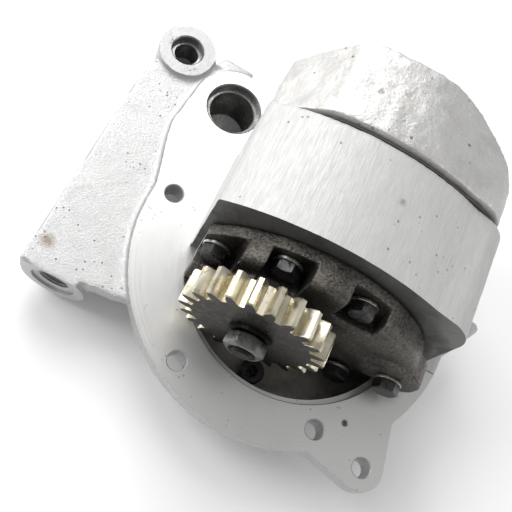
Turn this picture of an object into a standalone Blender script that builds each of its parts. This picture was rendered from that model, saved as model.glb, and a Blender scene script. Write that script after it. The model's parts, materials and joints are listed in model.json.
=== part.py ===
"""Gear-driven axial piston pump, lying on its back with the mounting flange facing up.

The shaft runs along Y, with the drive gear at the -Y end, and the machined flange face looks up +Z.
Every size below is in millimetres, and mm() turns it into metres where geometry is made.
"""

import math

import bmesh
import bpy
from mathutils import Matrix, Vector

# Fits
GAP = 0.3
RUNNING_GAP = 0.35

# Steps round a whole circle, and along an arc
RIM_STEPS = 72
ROUND_STEPS = 40
MEDIUM_STEPS = 20
SMALL_STEPS = 16
PORT_STEPS = 12
ARCH_STEPS = 28
EDGE_STEPS = 8

# How far a cutter runs past the face it cuts, and a length beyond every piece
OVERRUN = 5.0
FAR = 200.0

# How deep one cast shape reaches into another
ROOT = 1.0

# Points nearer than this become one
MERGE_DISTANCE = 0.002
TURN_MERGE_DISTANCE = 0.01

# The body rests on the floor at z = 0, and the flange face is this high above it
FLANGE_HEIGHT = 46.0

# Mounting flange
FLANGE_RADIUS = 105.0
FLANGE_THICKNESS = 15.0
BOLT_HOLE_RADIUS = 5.75
BOLT_HOLE_CIRCLE = 92.5
BOLT_HOLE_ANGLES = (173.0, 241.4, 300.0)
EAR_HOLE = (81.0, -87.8)
EAR_RADIUS = 14.0
EAR_ROOT_RADIUS = 40.0
EAR_ROOT = (48.6, -52.7)
LUG_CORNER = (121.0, 31.0)
LUG_RADIUS = 4.0
LUG_ROOT_RADIUS = 20.0
LUG_ROOT = (90.75, 12.4)
LUG_THICKNESS = 9.0
LAND_RADIUS = 27.0
ROUGH_CORNER = (-101.0, 114.0)
ROUGH_CORNER_RADIUS = 5.0
ROUGH_CORNER_SWEEP = (30.0, 150.0)

# Dished back of the body, and the pocket in it that the gear dips into
DISH_RADIUS = 84.0
DISH_FOOT_RADIUS = 80.0
POCKET_CENTRE_X = 5.0
POCKET_RADIUS = 72.0
POCKET_STEP_RADIUS = 75.5
POCKET_STEP_DEPTH = 6.0
POCKET_FLOOR = 37.0
POCKET_LEFT = -63.0

# Barrel part of the body: a wide arch over the cylinder block
ARCH_RADIUS = 142.0
ARCH_AXIS = (3.0, -47.0)
BARREL_LEFT = -68.0
BARREL_RIGHT = 91.0
BARREL_FRONT = -14.0
BARREL_BACK = 55.0
BARREL_SHOULDER = 26.0
BULKHEAD = 16.0
BARREL_PLAN_RADIUS = 106.5

# Manifold arm with its two bosses, and the large suction port beside it
ARM_DROP = 4.0
ARM_THICKNESS = 12.0
ARM_LEFT = -152.0
ARM_FRONT = -69.0
ARM_FOOT_CORNER = (-92.0, -63.0)
ARM_KNEE = (-72.0, -57.0)
ARM_WEB_RIGHT = (-115.7, 96.0)
ARM_WEB_LEFT = (-144.2, 96.0)
ARM_WAIST = (-148.2, 70.0)
ARM_EDGE = 1.5
TOP_BOSS = (-129.0, 107.0)
TOP_BOSS_RADIUS = 19.0
TOP_BOSS_DEPTH = 30.0
TOP_BORE_RADIUS = 7.6
TOP_COUNTERBORE_RADIUS = 10.3
TOP_COUNTERBORE_DEPTH = 5.0
TOP_BORE_DEPTH = 22.0
OUTLET_BOSS_RADIUS = 21.0
OUTLET_BOSS_X = -130.0
OUTLET_BOSS_DROP = 19.0
OUTLET_BOSS_LENGTH = 42.0
OUTLET_BORE_RADIUS = 9.5
OUTLET_SPOTFACE_RADIUS = 14.0
OUTLET_SPOTFACE_DEPTH = 1.5
OUTLET_BORE_DEPTH = 30.0
SUCTION_PORT = (-84.4, 84.9)
SUCTION_BOSS_RADIUS = 25.0
SUCTION_COUNTERBORE_RADIUS = 17.6
SUCTION_COUNTERBORE_DEPTH = 5.0
SUCTION_BORE_RADIUS = 14.6
SUCTION_BORE_DEPTH = 36.0
SUCTION_FLOOR = 6.0

# Shaft line
SHAFT_X = -17.7
SHAFT_Z = 39.0
PUMP_BORE_RADIUS = 37.0

# Drive gear and what holds it on the shaft
GEAR_TEETH = 22
GEAR_MODULE = 3.65
GEAR_FRONT = -59.5
GEAR_WIDTH = 16.5
GEAR_PRESSURE_ANGLE = 20.0
GEAR_BORE_RADIUS = 7.6
# Each level of a tooth's side: height above the pitch circle in modules, and the ease of its flank
TOOTH_LEVELS = ((-1.25, 0.92), (-0.35, 1.0), (0.45, 1.0), (1.0, 1.12))
NUT_ACROSS_FLATS = 21.0
NUT_TURN = 0.4
NUT_THICKNESS = 9.0
LOCK_WASHER_RADIUS = 13.0
LOCK_WASHER_THICKNESS = 2.0
THREAD_RADIUS = 6.5
THREAD_PAST_NUT = 1.5
KEY_WIDTH = 4.0
KEY_HEIGHT = 4.0
KEY_LENGTH = 11.0
KEY_OFFSET = 1.0

# Shaft
JOURNAL_RADIUS = 8.4
REAR_JOURNAL_RADIUS = 7.0
REAR_JOURNAL_LENGTH = 26.0
SHAFT_WAY_CLEARANCE = 1.2
SHAFT_CHAMFER = 1.0
SHAFT_TAPER = 3.0
GEAR_SEAT_INSET = 1.0
BLOCK_INSET = 1.0

# Iron front cover
COVER_ARCH_RADIUS = 82.6
COVER_AXIS = (4.6, -0.8)
COVER_DEPTH = 20.0
COVER_LEFT = -64.0
COVER_FOOT_LEFT = -54.0
COVER_FOOT_RIGHT = 58.0
COVER_FOOT_DROP = 34.0
COVER_RIGHT = 84.0
COVER_HUB_RADIUS = 24.0
COVER_HUB_TIP_RADIUS = 22.0
COVER_HUB_FRONT = -42.0
COVER_POCKET_DEPTH = 12.0
COVER_POCKET_WIDTH = 24.0
NOTCHED_BOLTS = "abc"
NOTCH_FLOOR = 9.5
LOBE_CENTRE = (71.0, 15.0)
LOBE_RADIUS = 20.0
LOBE_FRONT = -36.0
FLANGE_CLEARANCE = 1.0

# Cover bolts, by their place across the shaft, and the seat each washer sits on
BOLT_A = (-55.0, 37.0)
BOLT_B = (-18.5, 64.0)
BOLT_C = (28.5, 64.0)
BOLT_D = (73.0, 13.0)
BOLT_E = (48.0, -14.0)
BOLT_SHANK_RADIUS = 4.7
BOLT_ACROSS_FLATS = 14.3
BOLT_HEAD_THICKNESS = 6.3
BOLT_THREAD_LENGTH = 13.0
HOLE_PAST_TIP = 2.0
BOLT_TURNS = (0.3, 0.8, 1.3, 1.8, 2.3)
CROWN_NARROW = 0.44
CROWN_WIDE = 0.62
CROWN_DEPTH = 2.2
WASHER_RADIUS = 8.6
WASHER_THICKNESS = 1.8

# Plain screw in the pocket floor
FLOOR_SCREW_X = 2.6
FLOOR_SCREW_FROM_WALL = 13.9
FLOOR_SCREW_HEAD_RADIUS = 8.0
FLOOR_SCREW_HEAD_HEIGHT = 9.0
FLOOR_SCREW_SOCKET_RADIUS = 4.0
FLOOR_SCREW_SOCKET_DEPTH = 5.0
FLOOR_SCREW_SHANK_RADIUS = 4.5
FLOOR_SCREW_SHANK_LENGTH = 6.0

# Bearings and seal
BUSH_WALL = 2.8
FRONT_BUSH_LENGTH = 16.0
REAR_BUSH_LENGTH = 22.0
SEAL_WALL = 4.2
SEAL_WIDTH = 6.0
SEAL_SHELL = 1.5
SEAL_WEB = 2.0
SEAL_NOSE = (2.2, 2.5)
SEAL_LIP_WALL = 1.6
SEAL_LIP_ROOT = 2.6

# Wobble plate, thrust race and pistons
WOBBLE_RADIUS = 33.0
WOBBLE_ANGLE = 12.0
WOBBLE_THIN_SIDE = 7.0
THRUST_RACE_THICKNESS = 2.5
THRUST_RACE_WIDTH = 12.0
THRUST_RACE_CLEARANCE = 1.5
PISTON_COUNT = 7
PISTON_RADIUS = 5.6
PISTON_CIRCLE = 23.5
PISTON_LENGTH = 29.0
PISTON_POCKET_RADIUS = 4.0
PISTON_POCKET_DEPTH = 19.0
PISTON_NOSE = 3.0
NOSE_FLAT_SHARE = 0.55
NOSE_SHOULDER_SHARES = (0.85, 0.3)
BLOCK_STANDOFF = 4.0
BLOCK_LENGTH = 34.0
BLOCK_BORE_DEPTH = 31.0
BLOCK_END_WALL = 4.0
BLOCK_PORT_RADIUS = 2.5
SPRING_RADIUS = 3.1
SPRING_WIRE_RADIUS = 0.55
SPRING_TURNS = 6
SPRING_POINTS_A_TURN = 7
VALVE_PLATE_THICKNESS = 5.0
VALVE_PORT_RADIUS = 3.0

# Rear cover, its gasket and bolts
GASKET_THICKNESS = 1.0
GASKET_INSET = 1.0
REAR_COVER_BACK = 110.0
REAR_COVER_RISE = 3.5
REAR_COVER_PLAN_RADIUS = 113.0
REAR_COVER_BEVEL = 5.0
REAR_COVER_BEVEL_ANGLE = 50.0
REAR_CHAMFER_TOP_X = -36.0
REAR_CHAMFER_FOOT_Z = 68.0
REAR_COVER_LEFT = -66.0
REAR_COVER_RIGHT = 84.0
REAR_BOLT_LENGTH = 43.0
REAR_BOLTS = ((-28.0, 82.0), (-54.0, 13.0), (36.0, 68.0), (56.0, 16.0))
REAR_BOLT_SEAT = 83.0
REAR_BOLT_POCKET_RADIUS = 9.4
REAR_BOLT_TURNS = (0.2, 1.2, 2.2, 3.2)

ALUMINIUM = ((0.62, 0.62, 0.61), 0.42, 0.9)
ROUGH_ALUMINIUM = ((0.55, 0.55, 0.54), 0.6, 0.8)
CAST_IRON = ((0.075, 0.072, 0.068), 0.55, 0.75)
GEAR_STEEL = ((0.42, 0.40, 0.35), 0.32, 1.0)
BOLT_STEEL = ((0.05, 0.055, 0.06), 0.35, 0.9)
BRIGHT_STEEL = ((0.55, 0.55, 0.54), 0.28, 1.0)
BRONZE = ((0.45, 0.28, 0.12), 0.4, 1.0)
RUBBER = ((0.02, 0.02, 0.02), 0.7, 0.0)
GASKET_PAPER = ((0.16, 0.15, 0.13), 0.8, 0.0)

parts = None
cutters = None


def mm(value):
    return value / 1000.0


def place(x, y, z):
    """A point of the flange's frame, in metres above the floor."""
    return Vector((mm(x), mm(y), mm(z + FLANGE_HEIGHT)))


def clear_scene():
    for item in list(bpy.data.objects):
        bpy.data.objects.remove(item)


def new_collection(name):
    collection = bpy.data.collections.new(name)
    bpy.context.scene.collection.children.link(collection)
    return collection


def material(name, finish):
    colour, roughness, metallic = finish
    made = bpy.data.materials.get(name) or bpy.data.materials.new(name)
    made.use_nodes = True
    shader = made.node_tree.nodes["Principled BSDF"]
    shader.inputs["Base Color"].default_value = (*colour, 1.0)
    shader.inputs["Roughness"].default_value = roughness
    shader.inputs["Metallic"].default_value = metallic
    return made


def link(name, mesh):
    """Every shape starts among the cutters, and finished() moves the ones that become parts."""
    made = bpy.data.objects.new(name, mesh)
    cutters.objects.link(made)
    return made


def applied(made):
    """The object with its modifiers and its curve made into one plain mesh."""
    graph = bpy.context.evaluated_depsgraph_get()
    mesh = bpy.data.meshes.new_from_object(made.evaluated_get(graph))
    work = bmesh.new()
    work.from_mesh(mesh)
    bmesh.ops.remove_doubles(work, verts=work.verts, dist=mm(MERGE_DISTANCE))
    bmesh.ops.recalc_face_normals(work, faces=work.faces)
    work.to_mesh(mesh)
    work.free()
    name, matrix = made.name, made.matrix_world.copy()
    bpy.data.objects.remove(made)
    result = link(name, mesh)
    result.matrix_world = matrix
    return result


def arc(centre, radius, start, end, steps):
    """Points of an arc, with its angles in degrees."""
    angles = (math.radians(start + (end - start) * i / steps) for i in range(steps + 1))
    return [(centre[0] + radius * math.cos(a), centre[1] + radius * math.sin(a)) for a in angles]


def outline(name, points, thickness):
    """A flat outline in XY, thickened evenly about z = 0."""
    curve = bpy.data.curves.new(name, "CURVE")
    curve.dimensions = "2D"
    curve.fill_mode = "BOTH"
    curve.extrude = mm(thickness) / 2
    spline = curve.splines.new("POLY")
    spline.points.add(len(points) - 1)
    for point, (x, y) in zip(spline.points, points):
        point.co = (mm(x), mm(y), 0.0, 1.0)
    spline.use_cyclic_u = True
    made = link(name, curve)
    bpy.context.view_layer.update()
    return applied(made)


def plan_prism(name, points, low, high):
    """An outline in plan, standing from low to high."""
    made = outline(name, points, high - low)
    made.matrix_world = Matrix.Translation(place(0, 0, (low + high) / 2))
    return baked(made)


def front_prism(name, points, front, back):
    """An outline seen along the shaft (x, z), running from front to back along Y."""
    made = outline(name, points, back - front)
    turn = Matrix.Rotation(math.pi / 2, 4, "X")
    made.matrix_world = Matrix.Translation(place(0, (front + back) / 2, 0)) @ turn
    return baked(made)


def baked(made):
    """The object with its placing moved into its mesh."""
    made.data.transform(made.matrix_world)
    made.matrix_world = Matrix.Identity(4)
    made.data.update()
    return made


def cylinder(name, start, end, radius, end_radius=None, steps=ROUND_STEPS, turn=0.0):
    """A cylinder or cone between two points of the flange's frame."""
    first, last = place(*start), place(*end)
    axis = last - first
    mesh = bpy.data.meshes.new(name)
    work = bmesh.new()
    bmesh.ops.create_cone(
        work,
        cap_ends=True,
        segments=steps,
        radius1=mm(radius),
        radius2=mm(radius if end_radius is None else end_radius),
        depth=axis.length,
    )
    spin = Matrix.Rotation(turn, 4, "Z")
    aim = axis.to_track_quat("Z", "Y").to_matrix().to_4x4()
    work.transform(Matrix.Translation((first + last) / 2) @ aim @ spin)
    work.to_mesh(mesh)
    work.free()
    return link(name, mesh)


def box(name, low, high):
    mesh = bpy.data.meshes.new(name)
    work = bmesh.new()
    bmesh.ops.create_cube(work, size=1.0)
    first, last = place(*low), place(*high)
    size = Matrix.Diagonal((*(last - first), 1.0))
    work.transform(Matrix.Translation((first + last) / 2) @ size)
    work.to_mesh(mesh)
    work.free()
    return link(name, mesh)


def turned(name, centre, profile, steps=ROUND_STEPS):
    """A closed profile of (radius, y) turned about a line along Y through centre (x, z)."""
    mesh = bpy.data.meshes.new(name)
    work = bmesh.new()
    points = [work.verts.new((mm(radius), 0.0, mm(y))) for radius, y in profile]
    for first, second in zip(points, points[1:] + points[:1]):
        work.edges.new((first, second))
    work.to_mesh(mesh)
    work.free()
    made = link(name, mesh)
    screw = made.modifiers.new("Turn", "SCREW")
    screw.steps = steps
    screw.render_steps = steps
    screw.use_merge_vertices = True
    screw.merge_threshold = mm(TURN_MERGE_DISTANCE)
    bpy.context.view_layer.update()
    made = applied(made)
    aim = Matrix.Rotation(-math.pi / 2, 4, "X")
    made.matrix_world = Matrix.Translation(place(centre[0], 0, centre[1])) @ aim
    return baked(made)


def tube(name, centre, inner, outer, front, back, steps=ROUND_STEPS):
    return turned(name, centre, [(inner, front), (outer, front), (outer, back), (inner, back)], steps)


def boolean(made, tool, operation):
    modifier = made.modifiers.new(operation.title(), "BOOLEAN")
    modifier.operation = operation
    modifier.solver = "EXACT"
    modifier.object = tool
    bpy.context.view_layer.update()
    result = applied(made)
    bpy.data.objects.remove(tool)
    return result


def cut(made, *tools):
    for tool in tools:
        made = boolean(made, tool, "DIFFERENCE")
    return made


def join(made, *tools):
    for tool in tools:
        made = boolean(made, tool, "UNION")
    return made


def common(made, tool):
    return boolean(made, tool, "INTERSECT")


def finished(made, name, finish_name, finish, sharp=35.0, axis=None):
    """Gives a part its name, its material, smooth shading and, for one that moves, an origin on its axis."""
    cutters.objects.unlink(made)
    parts.objects.link(made)
    made.name = name
    made.data.name = name
    made.data.materials.clear()
    made.data.materials.append(material(finish_name, finish))
    made.data.shade_smooth()
    made.data.set_sharp_from_angle(angle=math.radians(sharp))
    if axis is not None:
        origin = place(*axis)
        made.data.transform(Matrix.Translation(-origin))
        made.matrix_world = Matrix.Translation(origin)
    return made


def tangent_hull(first, first_radius, second, second_radius, steps):
    """The outline of two circles and the straight lines that touch both."""
    dx, dy = second[0] - first[0], second[1] - first[1]
    heading = math.degrees(math.atan2(dy, dx))
    spread = math.degrees(math.acos((first_radius - second_radius) / math.hypot(dx, dy)))
    far = arc(second, second_radius, heading - spread, heading + spread, steps)
    near = arc(first, first_radius, heading + spread, heading + 360.0 - spread, steps)
    return far + near


def flange_plate():
    plate = cylinder("plate", (0, 0, -FLANGE_THICKNESS), (0, 0, 0), FLANGE_RADIUS, steps=RIM_STEPS)
    ear_shape = tangent_hull(EAR_ROOT, EAR_ROOT_RADIUS, EAR_HOLE, EAR_RADIUS, EDGE_STEPS)
    ear = plan_prism("ear", ear_shape, -FLANGE_THICKNESS + GAP, 0)
    lug_shape = tangent_hull(LUG_ROOT, LUG_ROOT_RADIUS, LUG_CORNER, LUG_RADIUS, EDGE_STEPS)
    lug = plan_prism("lug", lug_shape, -FLANGE_THICKNESS + GAP, -FLANGE_THICKNESS + LUG_THICKNESS)
    land = cylinder("land", (*SUCTION_PORT, -FLANGE_THICKNESS), (*SUCTION_PORT, 0), LAND_RADIUS)
    return join(plate, ear, lug, land)


def arm_plate():
    """The rough plate that carries the outlet and the top boss, a little below the machined face."""
    points = [
        (ARM_LEFT, ARM_FRONT),
        ARM_FOOT_CORNER,
        ARM_KNEE,
        SUCTION_PORT,
        *arc(ROUGH_CORNER, ROUGH_CORNER_RADIUS, *ROUGH_CORNER_SWEEP, EDGE_STEPS),
        ARM_WEB_RIGHT,
        TOP_BOSS,
        ARM_WEB_LEFT,
        ARM_WAIST,
    ]
    low = -ARM_DROP - ARM_THICKNESS
    plate = plan_prism("arm", points, low, -ARM_DROP)
    rounding = plate.modifiers.new("Cast edge", "BEVEL")
    rounding.width = mm(ARM_EDGE)
    rounding.segments = 2
    rounding.limit_method = "ANGLE"
    bpy.context.view_layer.update()
    plate = applied(plate)
    boss_top = cylinder("boss", (*TOP_BOSS, -TOP_BOSS_DEPTH), (*TOP_BOSS, 0), TOP_BOSS_RADIUS)
    outlet_z = -OUTLET_BOSS_DROP
    start = (OUTLET_BOSS_X, ARM_FRONT, outlet_z)
    end = (OUTLET_BOSS_X, ARM_FRONT + OUTLET_BOSS_LENGTH, outlet_z)
    outlet = cylinder("outlet", start, end, OUTLET_BOSS_RADIUS)
    reach = OUTLET_BOSS_RADIUS + OVERRUN
    lid = box(
        "lid",
        (OUTLET_BOSS_X - reach, ARM_FRONT - OVERRUN, -ARM_DROP),
        (OUTLET_BOSS_X + reach, ARM_FRONT + OUTLET_BOSS_LENGTH + OVERRUN, OUTLET_BOSS_RADIUS),
    )
    outlet = cut(outlet, lid)
    return join(plate, boss_top, outlet)


def arch_height(x, radius):
    return ARCH_AXIS[1] + math.sqrt(radius**2 - (x - ARCH_AXIS[0]) ** 2)


def arched_top(left, right, radius):
    """The round right shoulder and the wide arch, seen along the shaft and drawn from right to left."""
    shoulder_x = right - BARREL_SHOULDER
    shoulder_z = arch_height(shoulder_x, radius) - BARREL_SHOULDER
    right_angle = math.degrees(math.acos((shoulder_x - ARCH_AXIS[0]) / radius))
    left_angle = math.degrees(math.acos((left - ARCH_AXIS[0]) / radius))
    shoulder = arc((shoulder_x, shoulder_z), BARREL_SHOULDER, 0.0, right_angle, EDGE_STEPS)
    return shoulder + arc(ARCH_AXIS, radius, right_angle, left_angle, ARCH_STEPS)[1:]


def barrel():
    """The arched barrel over the cylinder block, rounded in plan along the flange's rim."""
    low = -FLANGE_THICKNESS / 2
    points = [(BARREL_LEFT, low), (BARREL_RIGHT, low), *arched_top(BARREL_LEFT, BARREL_RIGHT, ARCH_RADIUS)]
    made = front_prism("barrel", points, BARREL_FRONT, BARREL_BACK)
    plan = cylinder("plan", (0, 0, -FAR), (0, 0, FAR), BARREL_PLAN_RADIUS, steps=RIM_STEPS)
    return common(made, plan)


def bolt_places():
    """Each cover bolt's letter, place and the y of its washer seat."""
    seat = BARREL_FRONT - COVER_DEPTH + COVER_POCKET_DEPTH
    return (
        ("a", BOLT_A, seat),
        ("b", BOLT_B, seat),
        ("c", BOLT_C, seat),
        ("d", BOLT_D, LOBE_FRONT),
        ("e", BOLT_E, BARREL_FRONT - COVER_DEPTH),
    )


def pump_body():
    bottom = -FLANGE_HEIGHT
    dish = cylinder("dish", (0, 0, bottom), (0, 0, -FLANGE_THICKNESS + ROOT), DISH_FOOT_RADIUS, DISH_RADIUS)
    suction_foot = -SUCTION_BORE_DEPTH - SUCTION_FLOOR
    suction = cylinder("suction", (*SUCTION_PORT, suction_foot), (*SUCTION_PORT, -ROOT), SUCTION_BOSS_RADIUS)
    made = join(flange_plate(), dish, suction, arm_plate(), barrel())

    x = POCKET_CENTRE_X
    pocket = cylinder("pocket", (x, 0, -POCKET_FLOOR), (x, 0, OVERRUN), POCKET_RADIUS)
    step = cylinder("step", (x, 0, -POCKET_STEP_DEPTH), (x, 0, 2 * OVERRUN), POCKET_STEP_RADIUS)
    front_half = box("half", (POCKET_LEFT, -FAR, -FAR), (FAR, BARREL_FRONT, FAR))
    pocket = common(join(pocket, step), front_half)
    bore = along_shaft("bore", bulkhead_back(), BARREL_BACK + OVERRUN, PUMP_BORE_RADIUS)
    way = along_shaft("way", BARREL_FRONT - OVERRUN, bulkhead_back() + OVERRUN, shaft_way_radius())
    made = cut(made, pocket, bore, way)

    for angle in map(math.radians, BOLT_HOLE_ANGLES):
        made = cut(made, flange_hole(BOLT_HOLE_CIRCLE * math.cos(angle), BOLT_HOLE_CIRCLE * math.sin(angle)))
    made = cut(made, flange_hole(*EAR_HOLE))
    for port, (radius, depth), (rim_radius, rim_depth) in (
        (
            SUCTION_PORT,
            (SUCTION_BORE_RADIUS, SUCTION_BORE_DEPTH),
            (SUCTION_COUNTERBORE_RADIUS, SUCTION_COUNTERBORE_DEPTH),
        ),
        (TOP_BOSS, (TOP_BORE_RADIUS, TOP_BORE_DEPTH), (TOP_COUNTERBORE_RADIUS, TOP_COUNTERBORE_DEPTH)),
    ):
        made = cut(
            made,
            cylinder("bore", (*port, -depth), (*port, OVERRUN), radius),
            cylinder("rim", (*port, -rim_depth), (*port, FAR), rim_radius),
        )
    mouth = (OUTLET_BOSS_X, ARM_FRONT - OVERRUN, -OUTLET_BOSS_DROP)
    for radius, depth in (
        (OUTLET_BORE_RADIUS, OUTLET_BORE_DEPTH),
        (OUTLET_SPOTFACE_RADIUS, OUTLET_SPOTFACE_DEPTH),
    ):
        end = (OUTLET_BOSS_X, ARM_FRONT + depth, -OUTLET_BOSS_DROP)
        made = cut(made, cylinder("outlet", mouth, end, radius))
    for _, (x, z), _ in bolt_places():
        made = cut(made, bolt_hole(x, z, BARREL_FRONT - OVERRUN, bolt_tip() + HOLE_PAST_TIP))
    for x, z in REAR_BOLTS:
        made = cut(made, bolt_hole(x, z, rear_bolt_end() - HOLE_PAST_TIP, BARREL_BACK + OVERRUN))
    shank = cylinder(
        "shank",
        (*screw_place(), -POCKET_FLOOR - FLOOR_SCREW_SHANK_LENGTH - GAP),
        (*screw_place(), -POCKET_FLOOR + OVERRUN),
        FLOOR_SCREW_SHANK_RADIUS + GAP,
        steps=SMALL_STEPS,
    )
    return finished(cut(made, shank), "pump_body", "cast_aluminium", ALUMINIUM)


def flange_hole(x, y):
    return cylinder("hole", (x, y, -FAR), (x, y, OVERRUN), BOLT_HOLE_RADIUS, steps=SMALL_STEPS)


def along_shaft(name, front, back, radius, end_radius=None):
    return cylinder(name, (SHAFT_X, front, SHAFT_Z), (SHAFT_X, back, SHAFT_Z), radius, end_radius)


def bolt_hole(x, z, front, back):
    return cylinder("hole", (x, front, z), (x, back, z), BOLT_SHANK_RADIUS + GAP, steps=SMALL_STEPS)


def front_cover():
    """Iron cover over the front of the barrel, with the shaft's bearing and seal in its hub."""
    face = BARREL_FRONT - GAP
    front = BARREL_FRONT - COVER_DEPTH
    left_angle = math.degrees(math.acos((COVER_LEFT - COVER_AXIS[0]) / COVER_ARCH_RADIUS))
    right_angle = math.degrees(math.acos((COVER_RIGHT - COVER_AXIS[0]) / COVER_ARCH_RADIUS))
    points = [
        (COVER_LEFT, FLANGE_CLEARANCE),
        (COVER_RIGHT, FLANGE_CLEARANCE),
        *arc(COVER_AXIS, COVER_ARCH_RADIUS, right_angle, left_angle, ARCH_STEPS),
    ]
    made = front_prism("cover", points, front, face)
    foot = box(
        "foot",
        (COVER_FOOT_LEFT, front + FLANGE_CLEARANCE, -COVER_FOOT_DROP),
        (COVER_FOOT_RIGHT, face - GAP, COVER_FOOT_DROP / 2),
    )
    root = face - COVER_DEPTH / 4
    x, z = LOBE_CENTRE
    lobe = cylinder("lobe", (x, LOBE_FRONT, z), (x, root, z), LOBE_RADIUS)
    lobe = cut(lobe, box("under", (-FAR, -FAR, -FAR), (FAR, FAR, FLANGE_CLEARANCE + GAP)))
    hub = along_shaft("hub", COVER_HUB_FRONT, root, COVER_HUB_TIP_RADIUS, COVER_HUB_RADIUS)
    made = join(made, foot, lobe, hub)
    for letter, (x, z), seat in bolt_places():
        half = COVER_POCKET_WIDTH / 2
        if letter in NOTCHED_BOLTS:
            made = cut(made, box("notch", (x - half, -FAR, z - NOTCH_FLOOR), (x + half, seat, FAR)))
        made = cut(made, bolt_hole(x, z, -FAR, BARREL_FRONT + OVERRUN))
    made = cut(
        made,
        along_shaft("bush", bush_front(), BARREL_FRONT + OVERRUN, bush_radius() + GAP),
        along_shaft("seal", -FAR, seal_back() + GAP, seal_radius() + GAP),
        along_shaft("way", -FAR, BARREL_FRONT + OVERRUN, shaft_way_radius()),
    )
    return finished(made, "front_cover", "cast_iron", CAST_IRON)


def bulkhead_back():
    return BARREL_FRONT + BULKHEAD


def bolt_tip():
    return BARREL_FRONT + BOLT_THREAD_LENGTH


def shaft_way_radius():
    return JOURNAL_RADIUS + SHAFT_WAY_CLEARANCE


def bush_radius():
    return JOURNAL_RADIUS + RUNNING_GAP + BUSH_WALL


def bush_front():
    return BARREL_FRONT - GAP - FRONT_BUSH_LENGTH - GAP


def seal_radius():
    return JOURNAL_RADIUS + RUNNING_GAP + SEAL_WALL


def seal_back():
    return COVER_HUB_FRONT + SEAL_WIDTH


def wobble_front():
    """The wobble plate's flat face, just behind the thrust race on the bulkhead."""
    return bulkhead_back() + THRUST_RACE_THICKNESS + 2 * GAP


def wobble_middle():
    return wobble_front() + WOBBLE_THIN_SIDE + WOBBLE_RADIUS * math.tan(math.radians(WOBBLE_ANGLE))


def piston_nose():
    """Where the noses stand at rest, just clear of the plate's highest sweep."""
    reach = PISTON_CIRCLE + PISTON_RADIUS
    return wobble_middle() + reach * math.tan(math.radians(WOBBLE_ANGLE)) + RUNNING_GAP


def piston_stroke():
    return 2 * PISTON_CIRCLE * math.tan(math.radians(WOBBLE_ANGLE))


def block_front():
    return piston_nose() + piston_stroke() + BLOCK_STANDOFF


def block_back():
    return block_front() + BLOCK_LENGTH


def valve_plate_back():
    return block_back() + GAP + VALVE_PLATE_THICKNESS


def bore_end():
    return block_front() + BLOCK_BORE_DEPTH


def rear_bolt_end():
    return REAR_BOLT_SEAT - REAR_BOLT_LENGTH


def tooth_outline():
    """A spur gear's outline with straight-sided teeth of the right thickness at tip, pitch and root."""
    pitch = GEAR_MODULE * GEAR_TEETH / 2
    slope = math.tan(math.radians(GEAR_PRESSURE_ANGLE))
    half_pitch_angle = math.pi / GEAR_TEETH / 2
    points = []
    for tooth in range(GEAR_TEETH):
        middle = 2 * math.pi * tooth / GEAR_TEETH
        sides = []
        for height, ease in TOOTH_LEVELS:
            radius = pitch + height * GEAR_MODULE
            half = half_pitch_angle - height * GEAR_MODULE * slope * ease / radius
            sides.append((radius, half))
        flank = [(radius, middle - half) for radius, half in sides]
        flank += [(radius, middle + half) for radius, half in reversed(sides)]
        points += [(radius * math.cos(a), radius * math.sin(a)) for radius, a in flank]
    return points


def drive_gear():
    points = [(SHAFT_X + x, SHAFT_Z + z) for x, z in tooth_outline()]
    made = front_prism("gear", points, GEAR_FRONT, GEAR_FRONT + GEAR_WIDTH)
    front, back = GEAR_FRONT - OVERRUN, GEAR_FRONT + GEAR_WIDTH + OVERRUN
    half = KEY_WIDTH / 2 + GAP
    hole = along_shaft("hole", front, back, GEAR_BORE_RADIUS + GAP)
    key_way = box("way", (SHAFT_X - half, front, SHAFT_Z), (SHAFT_X + half, back, key_top() + GAP))
    axis = (SHAFT_X, GEAR_FRONT + GEAR_WIDTH / 2, SHAFT_Z)
    return finished(cut(made, hole, key_way), "drive_gear", "gear_steel", GEAR_STEEL, axis=axis)


def key_top():
    return SHAFT_Z + GEAR_BORE_RADIUS + KEY_HEIGHT / 2


def nut_back():
    return GEAR_FRONT - GAP - LOCK_WASHER_THICKNESS - GAP


def drive_shaft():
    thread_end = nut_back() - NUT_THICKNESS - THREAD_PAST_NUT
    gear_seat = GEAR_FRONT + GEAR_WIDTH + GAP
    rear_start = block_front() - BLOCK_INSET
    rear_end = block_front() + REAR_JOURNAL_LENGTH
    profile = [
        (0, thread_end),
        (THREAD_RADIUS - SHAFT_CHAMFER, thread_end),
        (THREAD_RADIUS, thread_end + SHAFT_CHAMFER),
        (THREAD_RADIUS, GEAR_FRONT + GEAR_SEAT_INSET),
        (GEAR_BORE_RADIUS, GEAR_FRONT + GEAR_SEAT_INSET),
        (GEAR_BORE_RADIUS, gear_seat),
        (JOURNAL_RADIUS, gear_seat),
        (JOURNAL_RADIUS, rear_start - SHAFT_TAPER),
        (REAR_JOURNAL_RADIUS, rear_start),
        (REAR_JOURNAL_RADIUS, rear_end - SHAFT_CHAMFER),
        (REAR_JOURNAL_RADIUS - SHAFT_CHAMFER, rear_end),
        (0, rear_end),
    ]
    made = turned("shaft", (SHAFT_X, SHAFT_Z), profile)
    key_seat = box(
        "seat",
        (SHAFT_X - KEY_WIDTH / 2 - GAP, key_front() - GAP, key_top() - KEY_HEIGHT - GAP),
        (SHAFT_X + KEY_WIDTH / 2 + GAP, key_front() + KEY_LENGTH + GAP, key_top() + OVERRUN),
    )
    axis = (SHAFT_X, GEAR_FRONT, SHAFT_Z)
    return finished(cut(made, key_seat), "drive_shaft", "ground_steel", BRIGHT_STEEL, axis=axis)


def key_front():
    return GEAR_FRONT + (GEAR_WIDTH - KEY_LENGTH) / 2 + KEY_OFFSET


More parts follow.
